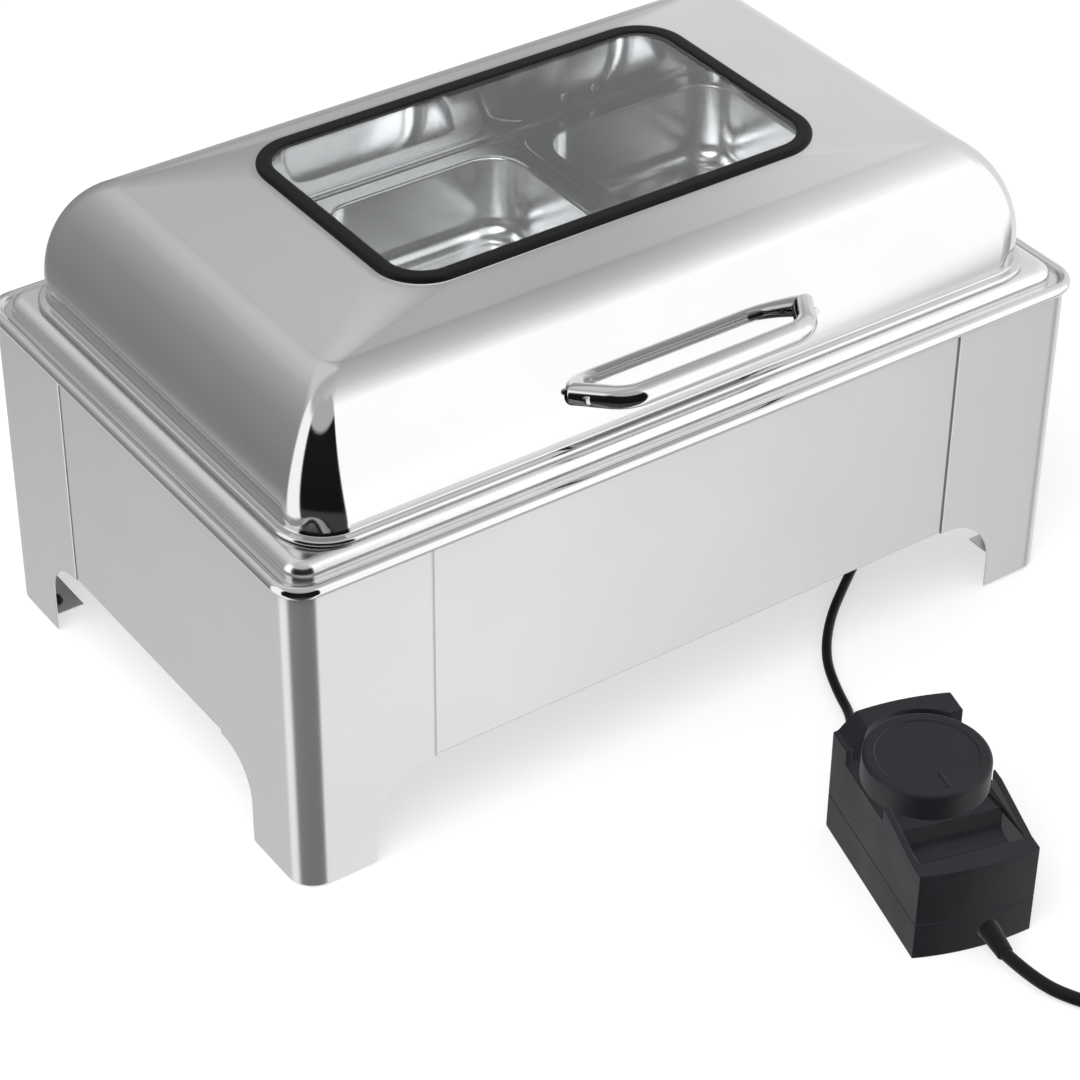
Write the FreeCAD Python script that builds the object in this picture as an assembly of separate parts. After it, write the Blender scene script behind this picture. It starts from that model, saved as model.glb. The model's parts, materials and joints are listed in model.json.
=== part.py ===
import FreeCAD, Part
import math
import os

# Electric food warmer tray: a countertop warmer with three food pans over a heated water pan,
# a hinged domed lid with a window, and a temperature controller in its mains lead.
# Frame: +X to the right, -Y to the front (the handle side), +Z up, z = 0 on the table.
# The origin is under the middle of the warmer. Lengths are in millimetres, angles in degrees.

V = FreeCAD.Vector
X_AXIS = V(1, 0, 0)
Y_AXIS = V(0, 1, 0)
Z_AXIS = V(0, 0, 1)

# ---------------------------------------------------------------- driving dimensions
CLEAR = 0.3              # between a moving piece and what it rests on or passes
PIN_CLEARANCE = 0.05     # radial, round a pin or a shaft
HOLE_CLEARANCE = 0.2     # radial, round a screw, rivet or stud
PAST = 5.0               # how far a cutter runs past a sheet

# Stand
STAND_LENGTH = 580.0
STAND_WIDTH = 362.0
STAND_CORNER_RADIUS = 17.5
SHEET = 1.0              # steel of the stand, the pans and the lid
WALL_TOP = 217.0         # where the legs and panels end, under the rolled bead
PANEL_BOTTOM = 63.0
LEG_FRONT_WIDTH = 93.0   # corner to seam, on the front and the back
LEG_SIDE_WIDTH = 89.0    # corner to seam, on the two ends
FOOT_FRONT_WIDTH = 51.0
FOOT_SIDE_WIDTH = 57.0
LEG_FRONT_ARC = 40.0     # radius of the cut-out beside each foot
LEG_SIDE_ARC = 31.0
PANEL_TUCK = 12.0        # how far a panel runs behind each leg
PANEL_RETURN = 10.0      # stiffening fold along a panel's lower edge
PANEL_BEND = 1.4         # outside of that fold
RIM_HEIGHT = 8.0
RIM_OVERHANG = 4.0       # bead outside the walls
RIM_INSIDE = 4.0         # bead inside the walls
LEDGE_REACH = 22.0       # from the wall to the inner edge of the ledge
LEDGE_DROP = 3.0         # ledge below the top of the bead
LEDGE_LIP = 7.0

# Rubber feet
FOOT_PLATE_X = 26.0      # folded plate in each corner that holds a foot
FOOT_PLATE_Y = 44.0
FOOT_RADIUS = 8.0
FOOT_HEIGHT = 2.0        # rubber under the leg
FOOT_STEM_RADIUS = 3.0
FOOT_INSET_X = 13.0      # foot centre from the end wall
FOOT_INSET_Y = 31.0      # and from the front or back wall
FOOT_BUTTON = 3.0

# Water pan
PAN_MARGIN = 8.0         # flange edge inside the stand's walls
PAN_HEM = 10.0           # height of the flange above the ledge
HEM_ROUND = 8.0          # the flange rolls over into its hem
PAN_STEP = 3.8           # from the flange down to the seat of the food pans
SEAT_WIDTH = 11.0        # ledge inside the step
PAN_SIDE_CLEAR = 1.6     # round the three food pans, inside the step
BASIN_FLOOR = 149.0
BASIN_RADIUS = 30.0
BASIN_FLOOR_ROUND = 10.0

# Food pans
PAN_COUNT = 3
PAN_WIDTH = 174.6
PAN_LENGTH = 314.0
PAN_SPACE = 1.0          # between two pans
PAN_RIM = 13.0
PAN_SHEET = 0.8
PAN_DEPTH = 58.0
PAN_RIM_RADIUS = 26.0
STEP_RADIUS = 24.0         # corners of the opening that the rims drop into
PAN_BODY_RADIUS = 26.0
PAN_FLOOR_ROUND = 14.0

# Lid
LID_LENGTH = 535.0
LID_WIDTH = 327.0
LID_BASE_RADIUS = 29.0
LIP_REACH = 5.5
LIP_HEIGHT = 4.0
SKIRT_HEIGHT = 12.7
SHOULDER_RISE = 73.0
SHOULDER_END_REACH = 44.0     # how far the shoulder leans in, at the two ends
SHOULDER_SIDE_REACH = 44.0    # and along the front and back
SHOULDER_POWER = 1.8
SHOULDER_STEPS = 7
CREASE_RADIUS = 10.0
CROWN_RISE = 9.0
WINDOW_LENGTH = 312.6         # outside of the black gasket
WINDOW_WIDTH = 188.8
WINDOW_RADIUS = 33.0
CROWN_MARGIN = 3.5            # flat steel round the gasket
GASKET_WIDTH = 10.0
GASKET_GRIP = 5.3             # overlap of the gasket on the steel
GASKET_WEB = 1.5
GASKET_LIP = 1.0              # rubber above and below the glass
GLASS_THICKNESS = 4.0

# Lid handle
HANDLE_SPAN = 166.0           # between the centres of its two feet
HANDLE_SPREAD = 18.0          # each foot stands this far outside its bend
HANDLE_STANDOFF = 27.0
HANDLE_RADIUS = 7.0
HANDLE_BEND = 20.0
HANDLE_HEIGHT = 23.0          # feet above the top of the skirt
HANDLE_TILT = 10.0
HANDLE_ROOT = 8.0             # swept on past the lid before it is trimmed to the lid's curve
HANDLE_SCREW_RADIUS = 2.5
HANDLE_SCREW_DEPTH = 14.0
SCREW_HEAD_HEIGHT = 2.5

# Lid hinges
HINGE_INSET = 140.0           # from each end of the stand
HINGE_SPACING = STAND_LENGTH - 2 * HINGE_INSET
KNUCKLE_RADIUS = 6.0
HINGE_PIN_RADIUS = 2.5
ARM_WIDTH = 16.0
ARM_THICKNESS = 4.0
ARM_PAD_WIDTH = 34.0
ARM_PAD = 2.0
RIVET_RADIUS = 1.6
RIVET_HEAD = 1.2
BRACKET_WIDTH = 42.0
BRACKET_SHEET = 2.0
BRACKET_DROP = 32.0           # pad below the bead
BRACKET_SCREW_RADIUS = 2.0
EAR_GAP = 0.5
EAR_THICKNESS = 3.0
PIN_HEAD = 1.5

# Heater under the basin
HEATER_LENGTH = 270.0
HEATER_WIDTH = 150.0
HEATER_PLATE = 5.0
ELEMENT_RADIUS = 3.4
ELEMENT_LENGTH = 220.0
ELEMENT_PITCH = 36.0
CLAMP_BAR = 3.0
CLAMP_BAR_WIDTH = 14.0
COVER_LENGTH = 300.0
COVER_WIDTH = 180.0
COVER_DEPTH = 32.0
COVER_RADIUS = 8.0
PAD_MARGIN = 4.0              # round the insulation pad
PAD_THICKNESS = 6.0
STUD_RADIUS = 2.5
STUD_SPACING_X = 250.0
STUD_SPACING_Y = 124.0
NUT_HEIGHT = 4.0
NUT_FLATS = 8.0
CUTOUT_RADIUS = 8.0
CUTOUT_HEIGHT = 8.0
CUTOUT_TAB = 4.0
TERMINAL_LENGTH = 26.0
TERMINAL_WIDTH = 34.0
TERMINAL_HEIGHT = 11.0
TERMINAL_MARGIN = 20.0        # from the cover's right wall
TERMINAL_HOLE = 2.0
WIRE_RADIUS = 1.2

# Cords
HEATER_CORD_RADIUS = 3.25
MAINS_CORD_RADIUS = 4.0
GLAND_RADIUS = 7.0
GLAND_FLANGE = 10.0
GLAND_LENGTH = 22.0
GLAND_Y = -30.0
GLAND_DROP = 17.0             # cord axis below the basin
BOOT_LENGTH = 22.0
BOOT_RADIUS = 6.5
BOOT_NECK = 8.0               # inside the controller
BOOT_LIP = 1.0                # rubber round the cord at a boot's end
CORD_TAIL = 24.0              # cord inside the controller, past the boot

# Controller
BOX_LENGTH = 131.0
BOX_WIDTH = 76.0
BOX_CENTRE = V(25.0, -375.0, 0.0)
BOX_TURN = -15.0
BOX_WALL = 2.5
BOX_BOW = 4.0                 # how far each end bulges
BASE_HEIGHT = 26.0
DECK_HEIGHT = 64.0
BRIDGE_HEIGHT = 84.0          # block behind the dial
BRIDGE_START = 0.72           # its front face behind the dial axis, in dial radii
BRIDGE_SIDE = 71.0            # it falls to this height at the left wall
BRIDGE_FALL = 15.0            # over this width
CHEEK_HEIGHT = 74.0           # side walls beside the dial
CHEEK = 4.0
CHEEK_NOTCH = 26.0            # half length of the gap where the dial looks out
CHEEK_POINT = 17.0            # the right wall starts again nearer to the dial axis
SCOOP_START = 23.0            # finger hollow, in front of the middle
SCOOP_END = 51.0
SCOOP_DEPTH = 18.0
SCOOP_ROUND = 7.0
SCOOP_RIM = 5.0               # solid cheek beside the hollow
BOX_FLOOR = 2.0
DIAL_RADIUS = 38.5
DIAL_HEIGHT = 18.0
DIAL_AXIS = V(1.5, 16.0, 0.0)  # dial axis beside and behind the middle
DIAL_EDGE_ROUND = 2.5
DIAL_DISH = 1.0               # sunk top of the dial
DIAL_MARK_WIDTH = 2.4
DIAL_MARK_LENGTH = 14.0
SHAFT_RADIUS = 3.0
SHAFT_HOLE_RADIUS = 4.5
REGULATOR_RADIUS = 11.0
REGULATOR_HEIGHT = 12.0
REGULATOR_BUSH = 4.0
REGULATOR_FLOOR = 2.0          # under the end of the shaft
BOARD_LENGTH = 92.0
BOARD_WIDTH = 56.0
BOARD_THICKNESS = 1.6
BOARD_HEIGHT = 30.0
BOX_POST_RADIUS = 4.0
BOX_SCREW_RADIUS = 1.5
BOX_SCREW_INSET = 11.0
BOX_SCREW_GRIP = 10.0         # screw length in the upper shell
SINK_LENGTH = 24.0
SINK_WIDTH = 34.0
SINK_HEIGHT = 12.0
SINK_FINS = 5
FIN_THICKNESS = 2.0
CORD_CLAMP_WIDTH = 10.0
MAINS_EXIT_OFFSET = 8.0       # mains lead beside the middle of the front end
HEATER_EXIT_HEIGHT = 17.0
MAINS_EXIT_HEIGHT = 13.0

# Mains lead: its coil and plug
COIL_CENTRE = V(140.0, -545.0, 0.0)
COIL_MID_RADIUS = 42.0
COIL_TIE = 1.2
TIE_WIDTH = 12.0
TIE_BEARING = 60.0
PLUG_OFFSET = V(95.0, 54.0, 0.0)   # back of the plug from the middle of the coil
PLUG_LENGTH = 38.0
PLUG_WIDTH = 30.0
PLUG_HEIGHT = 26.0
PLUG_CORNER = 5.0
BLADE_SPACING = 12.7
BLADE_WIDTH = 6.3
BLADE_THICKNESS = 1.5
BLADE_LENGTH = 17.0
EARTH_PIN_RADIUS = 2.4
EARTH_PIN_LENGTH = 20.0
EARTH_PIN_OFFSET = 11.9

# ---------------------------------------------------------------- levels and half sizes
HALF_LENGTH = STAND_LENGTH / 2
HALF_WIDTH = STAND_WIDTH / 2
RIM_TOP = WALL_TOP + RIM_HEIGHT
LEDGE_TOP = RIM_TOP - LEDGE_DROP
FLANGE_TOP = LEDGE_TOP + PAN_HEM
SEAT_TOP = FLANGE_TOP - PAN_STEP
LID_BASE = FLANGE_TOP + CLEAR
SKIRT_TOP = LID_BASE + SKIRT_HEIGHT
CREASE_TOP = SKIRT_TOP + SHOULDER_RISE
CROWN_TOP = CREASE_TOP + CROWN_RISE
GLASS_BOTTOM = CROWN_TOP - SHEET / 2 - GLASS_THICKNESS / 2
COVER_BOTTOM = BASIN_FLOOR - COVER_DEPTH
PLATE_BOTTOM = BASIN_FLOOR - HEATER_PLATE
ELEMENT_BOTTOM = PLATE_BOTTOM - 2 * ELEMENT_RADIUS
PAN_PITCH = PAN_WIDTH + PAN_SPACE
PAN_FLOOR_Z = SEAT_TOP + CLEAR - PAN_DEPTH
DIAL_BASE = DECK_HEIGHT + CLEAR


# ---------------------------------------------------------------- small helpers
def box(x0, x1, y0, y1, z0, z1):
    """A block between two corners."""
    return Part.makeBox(x1 - x0, y1 - y0, z1 - z0, V(x0, y0, z0))


def rod(start, direction, radius, length):
    """A cylinder from a point along a direction."""
    return Part.makeCylinder(radius, length, start, direction)


def rounded_wire(half_x, half_y, radius, z):
    """A rectangle with round corners, centred on the origin at a height."""
    a = half_x - radius
    b = half_y - radius
    k = radius * math.sqrt(0.5)
    edges = []
    corners = ((a, b, 1, 1), (-a, b, -1, 1), (-a, -b, -1, -1), (a, -b, 1, -1))
    for number, (cx, cy, sx, sy) in enumerate(corners):
        along = V(cx + sx * radius, cy, z)
        across = V(cx, cy + sy * radius, z)
        first, last = (along, across) if number % 2 == 0 else (across, along)
        edges.append(Part.Arc(first, V(cx + sx * k, cy + sy * k, z), last).toShape())
        nx, ny, nsx, nsy = corners[(number + 1) % 4]
        goes_on = V(nx, ny + nsy * radius, z) if number % 2 == 0 else V(nx + nsx * radius, ny, z)
        edges.append(Part.LineSegment(last, goes_on).toShape())
    return Part.Wire(edges)


def rounded_block(half_x, half_y, radius, z0, z1):
    """A plate or block with round upright edges."""
    face = Part.Face(rounded_wire(half_x, half_y, radius, z0))
    return face.extrude(V(0, 0, z1 - z0))


def frame_ring(half_x, half_y, radius, width, z0, z1):
    """A rectangular frame: its outer half sizes, corner radius and width inwards."""
    outer = rounded_block(half_x, half_y, radius, z0, z1)
    inner_radius = max(radius - width, 0.5)
    return outer.cut(rounded_block(half_x - width, half_y - width, inner_radius, z0 - 1, z1 + 1))


def level_edges(shape, z):
    """The edges of a shape that lie flat at a height."""
    return [e for e in shape.Edges if abs(e.BoundBox.ZMin - z) < 1e-4 and abs(e.BoundBox.ZMax - z) < 1e-4]


def fuse(shapes):
    """Several touching or overlapping solids as one."""
    return shapes[0].multiFuse(shapes[1:]).removeSplitter()


def mirror_x(shape):
    return shape.mirror(V(0, 0, 0), X_AXIS)


def mirror_y(shape):
    return shape.mirror(V(0, 0, 0), Y_AXIS)


def hexagon(centre, flats, height):
    """A hexagonal nut blank that stands up from its centre."""
    radius = flats / math.sqrt(3)
    points = [centre + V(radius * math.cos(a), radius * math.sin(a), 0)
              for a in (math.radians(60 * n) for n in range(7))]
    return Part.Face(Part.makePolygon(points)).extrude(V(0, 0, height))


def smooth_path(points, name=None):
    """Straight runs joined by tangent arcs, each as large as its two runs allow."""
    edges = []
    radii = []
    start = points[0]
    for before, corner, after in zip(points, points[1:], points[2:]):
        arriving = (corner - before).normalize()
        leaving = (after - corner).normalize()
        turn = arriving.getAngle(leaving)
        shorter = min((corner - before).Length, (after - corner).Length)
        cut = 0.45 * shorter
        radius = cut / math.tan(turn / 2)
        radii.append(radius)
        middle_way = (leaving - arriving).normalize()
        centre = corner + middle_way * (radius / math.cos(turn / 2))
        arc_start = corner - arriving * cut
        arc_end = corner + leaving * cut
        edges.append(Part.LineSegment(start, arc_start).toShape())
        edges.append(Part.Arc(arc_start, centre - middle_way * radius, arc_end).toShape())
        start = arc_end
    edges.append(Part.LineSegment(start, points[-1]).toShape())
    path = Part.Wire(edges)
    if name:
        print(name, "length", round(path.Length), "radii", [round(r) for r in radii])
    return path


def tube(points, radius, name=None):
    """A round cord along a smooth path."""
    path = smooth_path(points, name)
    heading = (points[1] - points[0]).normalize()
    profile = Part.Wire(Part.Circle(points[0], heading, radius).toShape())
    solid = path.makePipeShell([profile], True, False)
    if name:
        print(name, "volume over section times length",
              round(solid.Volume / (math.pi * radius ** 2 * path.Length), 4))
    return solid


def export(name, shapes):
    """Write one named sub-part."""
    solids = shapes if isinstance(shapes, list) else [shapes]
    shape = solids[0] if len(solids) == 1 else Part.makeCompound(solids)
    shape.exportStep("parts/" + name + ".step")


# ---------------------------------------------------------------- stand
def foot_notch(foot_width, leg_width, arc):
    """The outline cut away beside a foot, drawn along a wall and up."""
    arc = min(arc, leg_width - foot_width)
    bottom = -1.0
    beyond = leg_width + 1.0
    k = arc * (1 - math.sqrt(0.5))
    corner_low = V(foot_width, 0, PANEL_BOTTOM - arc)
    corner_high = V(foot_width + arc, 0, PANEL_BOTTOM)
    corner_mid = V(foot_width + k, 0, PANEL_BOTTOM - k)
    edges = [
        Part.LineSegment(V(foot_width, 0, bottom), corner_low).toShape(),
        Part.Arc(corner_low, corner_mid, corner_high).toShape(),
        Part.LineSegment(corner_high, V(beyond, 0, PANEL_BOTTOM)).toShape(),
        Part.LineSegment(V(beyond, 0, PANEL_BOTTOM), V(beyond, 0, bottom)).toShape(),
        Part.LineSegment(V(beyond, 0, bottom), V(foot_width, 0, bottom)).toShape(),
    ]
    return Part.Face(Part.Wire(edges))


def foot_centre():
    return V(HALF_LENGTH - FOOT_INSET_X, HALF_WIDTH - FOOT_INSET_Y, 0)


def corner_leg():
    """The leg in the +X +Y corner, with the plate that holds its foot."""
    walls = frame_ring(HALF_LENGTH, HALF_WIDTH, STAND_CORNER_RADIUS, SHEET, FOOT_HEIGHT, WALL_TOP)
    corner = box(HALF_LENGTH - LEG_FRONT_WIDTH, HALF_LENGTH + 1,
                 HALF_WIDTH - LEG_SIDE_WIDTH, HALF_WIDTH + 1, 0, WALL_TOP + 1)
    leg = walls.common(corner)
    front_notch = foot_notch(FOOT_FRONT_WIDTH, LEG_FRONT_WIDTH, LEG_FRONT_ARC).extrude(V(0, 4 * SHEET, 0))
    front_notch = mirror_x(front_notch)
    front_notch.translate(V(HALF_LENGTH, HALF_WIDTH - 2 * SHEET, 0))
    side_notch = foot_notch(FOOT_SIDE_WIDTH, LEG_SIDE_WIDTH, LEG_SIDE_ARC).extrude(V(0, 4 * SHEET, 0))
    side_notch.rotate(V(0, 0, 0), Z_AXIS, -90)
    side_notch.translate(V(HALF_LENGTH - 2 * SHEET, HALF_WIDTH, 0))
    leg = leg.cut(front_notch).cut(side_notch)
    plate = rounded_block(HALF_LENGTH - SHEET / 2, HALF_WIDTH - SHEET / 2, STAND_CORNER_RADIUS - SHEET / 2,
                          FOOT_HEIGHT, FOOT_HEIGHT + SHEET)
    plate = plate.common(box(HALF_LENGTH - FOOT_PLATE_X, HALF_LENGTH, HALF_WIDTH - FOOT_PLATE_Y, HALF_WIDTH,
                             0, FOOT_HEIGHT + 2 * SHEET))
    hole = rod(foot_centre(), Z_AXIS, FOOT_STEM_RADIUS, FOOT_HEIGHT + 2 * SHEET)
    return fuse([leg, plate]).cut(hole)


def rubber_foot():
    """A push-in foot for the +X +Y corner."""
    base = foot_centre()
    disc = rod(base, Z_AXIS, FOOT_RADIUS, FOOT_HEIGHT)
    stem = rod(base, Z_AXIS, FOOT_STEM_RADIUS, FOOT_HEIGHT + SHEET + FOOT_BUTTON / 2)
    button_base = base + V(0, 0, FOOT_HEIGHT + SHEET)
    button = Part.makeCone(1.5 * FOOT_STEM_RADIUS, FOOT_STEM_RADIUS, FOOT_BUTTON, button_base, Z_AXIS)
    return fuse([disc, stem, button])


def panel(visible_half, face):
    """A wall that faces +Y at a distance from the middle, tucked behind two legs."""
    half = visible_half + PANEL_TUCK
    wall = box(-half, half, face - 2 * SHEET, face - SHEET, PANEL_BOTTOM, WALL_TOP)
    fold = box(-visible_half, visible_half, face - SHEET - PANEL_RETURN, face - SHEET,
               PANEL_BOTTOM, PANEL_BOTTOM + SHEET)
    bent = fuse([wall, fold])
    outer_low = [e for e in level_edges(bent, PANEL_BOTTOM)
                 if e.BoundBox.YMin > face - SHEET - 1e-4 and e.BoundBox.XLength > visible_half]
    return bent.makeFillet(PANEL_BEND, outer_low)


def top_rim():
    """The rolled bead, with an inner ledge that carries the water pan."""
    bead = frame_ring(HALF_LENGTH + RIM_OVERHANG, HALF_WIDTH + RIM_OVERHANG,
                      STAND_CORNER_RADIUS + RIM_OVERHANG, RIM_OVERHANG + RIM_INSIDE, WALL_TOP, RIM_TOP)
    rounded = level_edges(bead, RIM_TOP)
    bead = bead.makeFillet(0.95 * RIM_OVERHANG, rounded)
    outer_low = [e for e in level_edges(bead, WALL_TOP)
                 if max(abs(e.BoundBox.XMax), abs(e.BoundBox.XMin)) > HALF_LENGTH
                 or max(abs(e.BoundBox.YMax), abs(e.BoundBox.YMin)) > HALF_WIDTH]
    bead = bead.makeFillet(0.95 * RIM_OVERHANG, outer_low)
    ledge = frame_ring(HALF_LENGTH - RIM_INSIDE / 2, HALF_WIDTH - RIM_INSIDE / 2,
                       STAND_CORNER_RADIUS - RIM_INSIDE / 2, LEDGE_REACH - RIM_INSIDE / 2,
                       LEDGE_TOP - SHEET, LEDGE_TOP)
    lip = frame_ring(HALF_LENGTH - LEDGE_REACH + SHEET, HALF_WIDTH - LEDGE_REACH + SHEET, 2.0,
                     SHEET, LEDGE_TOP - LEDGE_LIP, LEDGE_TOP)
    return fuse([bead, ledge, lip])


# ---------------------------------------------------------------- pans
def water_pan():
    """A flange on a turned-down hem, a seat for the food pans and the basin."""
    flange_x = HALF_LENGTH - PAN_MARGIN
    flange_y = HALF_WIDTH - PAN_MARGIN
    radius = STAND_CORNER_RADIUS - RIM_INSIDE
    step_x = ((PAN_COUNT - 1) * PAN_PITCH + PAN_WIDTH) / 2 + PAN_SIDE_CLEAR
    step_y = PAN_LENGTH / 2 + PAN_SIDE_CLEAR
    basin_x = step_x - SEAT_WIDTH
    basin_y = step_y - SEAT_WIDTH
    flange = rounded_block(flange_x, flange_y, radius, LEDGE_TOP, FLANGE_TOP)
    flange = flange.makeFillet(HEM_ROUND, level_edges(flange, FLANGE_TOP))
    under = rounded_block(flange_x - SHEET, flange_y - SHEET, radius - SHEET, LEDGE_TOP, FLANGE_TOP - SHEET)
    under = under.makeFillet(HEM_ROUND - SHEET, level_edges(under, FLANGE_TOP - SHEET))
    flange = flange.cut(under)
    opening = rounded_block(step_x, step_y, STEP_RADIUS, SEAT_TOP, FLANGE_TOP + 1)
    riser = rounded_block(step_x + SHEET, step_y + SHEET, STEP_RADIUS + SHEET, SEAT_TOP - SHEET, FLANGE_TOP)
    basin_outer = rounded_block(basin_x + SHEET, basin_y + SHEET, BASIN_RADIUS + SHEET,
                                BASIN_FLOOR, SEAT_TOP)
    basin_outer = basin_outer.makeFillet(BASIN_FLOOR_ROUND + SHEET, level_edges(basin_outer, BASIN_FLOOR))
    basin = rounded_block(basin_x, basin_y, BASIN_RADIUS, BASIN_FLOOR + SHEET, FLANGE_TOP + 1)
    basin = basin.makeFillet(BASIN_FLOOR_ROUND, level_edges(basin, BASIN_FLOOR + SHEET))
    return fuse([flange, riser, basin_outer]).cut(opening).cut(basin)


def food_pan():
    """A deep pan with a flat rim, centred over the origin."""
    rim_bottom = SEAT_TOP + CLEAR
    rim = rounded_block(PAN_WIDTH / 2, PAN_LENGTH / 2, PAN_RIM_RADIUS, rim_bottom, rim_bottom + 1.5 * SHEET)
    body_x = PAN_WIDTH / 2 - PAN_RIM
    body_y = PAN_LENGTH / 2 - PAN_RIM
    body = rounded_block(body_x, body_y, PAN_BODY_RADIUS, PAN_FLOOR_Z, rim_bottom + SHEET)
    body = body.makeFillet(PAN_FLOOR_ROUND, level_edges(body, PAN_FLOOR_Z))
    inside_floor = PAN_FLOOR_Z + PAN_SHEET
    inside = rounded_block(body_x - PAN_SHEET, body_y - PAN_SHEET, PAN_BODY_RADIUS - PAN_SHEET,
                           inside_floor, rim_bottom + 5 * SHEET)
    inside = inside.makeFillet(PAN_FLOOR_ROUND - PAN_SHEET, level_edges(inside, inside_floor))
    return fuse([rim, body]).cut(inside)


# ---------------------------------------------------------------- lid
def shoulder_section(angle, thickness):
    """One level of the shoulder, 0 degrees at the skirt and 90 at the crease."""
    exponent = 2 / SHOULDER_POWER
    a = math.radians(angle)
    rise = math.sin(a) ** exponent
    lean = 1 - max(math.cos(a), 0) ** exponent
    inward = thickness * math.cos(a)
    radius = LID_BASE_RADIUS + (CREASE_RADIUS - LID_BASE_RADIUS) * rise - thickness
    return rounded_wire(LID_LENGTH / 2 - SHOULDER_END_REACH * lean - inward,
                        LID_WIDTH / 2 - SHOULDER_SIDE_REACH * lean - inward,
                        radius, SKIRT_TOP + SHOULDER_RISE * rise - thickness * math.sin(a))


def dome(thickness):
    """The solid dome, shrunk by a thickness."""
    half_x = LID_LENGTH / 2 - thickness
    half_y = LID_WIDTH / 2 - thickness
    skirt = rounded_block(half_x, half_y, LID_BASE_RADIUS - thickness, LID_BASE - thickness, SKIRT_TOP)
    angles = [90 * n / SHOULDER_STEPS for n in range(SHOULDER_STEPS + 1)]
    shoulder = Part.makeLoft([shoulder_section(a, thickness) for a in angles], True, False)
    window_edge = rounded_wire(WINDOW_LENGTH / 2 + CROWN_MARGIN, WINDOW_WIDTH / 2 + CROWN_MARGIN,
                               WINDOW_RADIUS + CROWN_MARGIN, CROWN_TOP - thickness)
    crown = Part.makeLoft([shoulder_section(90, thickness), window_edge], True, True)
    return skirt.fuse(shoulder).fuse(crown)


def handle_frame():
    """Where the handle meets the front of the lid: a point and the way it points."""
    exponent = 2 / SHOULDER_POWER
    sine = (HANDLE_HEIGHT / SHOULDER_RISE) ** (1 / exponent)
    lean = 1 - math.cos(math.asin(sine)) ** exponent
    point = V(0, -LID_WIDTH / 2 + SHOULDER_SIDE_REACH * lean, SKIRT_TOP + HANDLE_HEIGHT)
    tilt = math.radians(HANDLE_TILT)
    return point, V(0, -math.cos(tilt), math.sin(tilt))


def handle_reach():
    """How far the handle stands in front of the middle."""
    point, outward = handle_frame()
    return -(point + outward * HANDLE_STANDOFF).y + HANDLE_RADIUS


HINGE_Y = handle_reach() - KNUCKLE_RADIUS      # the lid reaches as far back as the handle does forward
HINGE_Z = LID_BASE + LIP_HEIGHT + ARM_THICKNESS
ARM_PAD_BOTTOM = LID_BASE + LIP_HEIGHT + CLEAR


def handle_screw_points():
    point, outward = handle_frame()
    return [point + V(side * HANDLE_SPAN / 2, 0, 0) for side in (-1, 1)], outward


def rivet_points():
    """The rivets of both hinge arms, on the back of the lid's skirt."""
    height = (ARM_PAD_BOTTOM + SKIRT_TOP) / 2
    offset = (ARM_PAD_WIDTH + ARM_WIDTH) / 4
    return [V(side * HINGE_SPACING / 2 + shift * offset, LID_WIDTH / 2, height)
            for side in (-1, 1) for shift in (-1, 1)]


def lid_shell():
    """The domed sheet with its rolled lip, window opening and holes."""
    lip = rounded_block(LID_LENGTH / 2 + LIP_REACH, LID_WIDTH / 2 + LIP_REACH, LID_BASE_RADIUS + LIP_REACH,
                        LID_BASE, LID_BASE + LIP_HEIGHT)
    lip_edges = level_edges(lip, LID_BASE) + level_edges(lip, LID_BASE + LIP_HEIGHT)
    lip = lip.makeFillet(0.48 * LIP_HEIGHT, lip_edges)
    shell = fuse([dome(0), lip]).cut(dome(SHEET))
    opening = WINDOW_LENGTH / 2 - GASKET_GRIP
    across = WINDOW_WIDTH / 2 - GASKET_GRIP
    window = rounded_block(opening, across, WINDOW_RADIUS - GASKET_GRIP, CREASE_TOP - PAST, CROWN_TOP + PAST)
    shell = shell.cut(window)
    screws, outward = handle_screw_points()
    for point in screws:
        hole_radius = HANDLE_SCREW_RADIUS + HOLE_CLEARANCE
        shell = shell.cut(rod(point - outward * PAST, outward, hole_radius, 2 * PAST))
    for point in rivet_points():
        shell = shell.cut(rod(point - Y_AXIS * PAST, Y_AXIS, RIVET_RADIUS, 2 * PAST))
    return shell


def window_gasket():
    """A rubber frame that grips the lid on its outside and the glass on its inside."""
    bottom = GLASS_BOTTOM - GASKET_LIP
    top = GLASS_BOTTOM + GLASS_THICKNESS + GASKET_LIP
    frame = frame_ring(WINDOW_LENGTH / 2, WINDOW_WIDTH / 2, WINDOW_RADIUS, GASKET_WIDTH, bottom, top)
    steel_slot = frame_ring(WINDOW_LENGTH / 2 + 2, WINDOW_WIDTH / 2 + 2, WINDOW_RADIUS + 2, GASKET_GRIP + 2,
                            CROWN_TOP - SHEET, CROWN_TOP)
    return frame.cut(steel_slot).cut(window_glass())


def window_glass():
    inset = GASKET_GRIP + GASKET_WEB
    return rounded_block(WINDOW_LENGTH / 2 - inset, WINDOW_WIDTH / 2 - inset, WINDOW_RADIUS - inset,
                         GLASS_BOTTOM, GLASS_BOTTOM + GLASS_THICKNESS)


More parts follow.
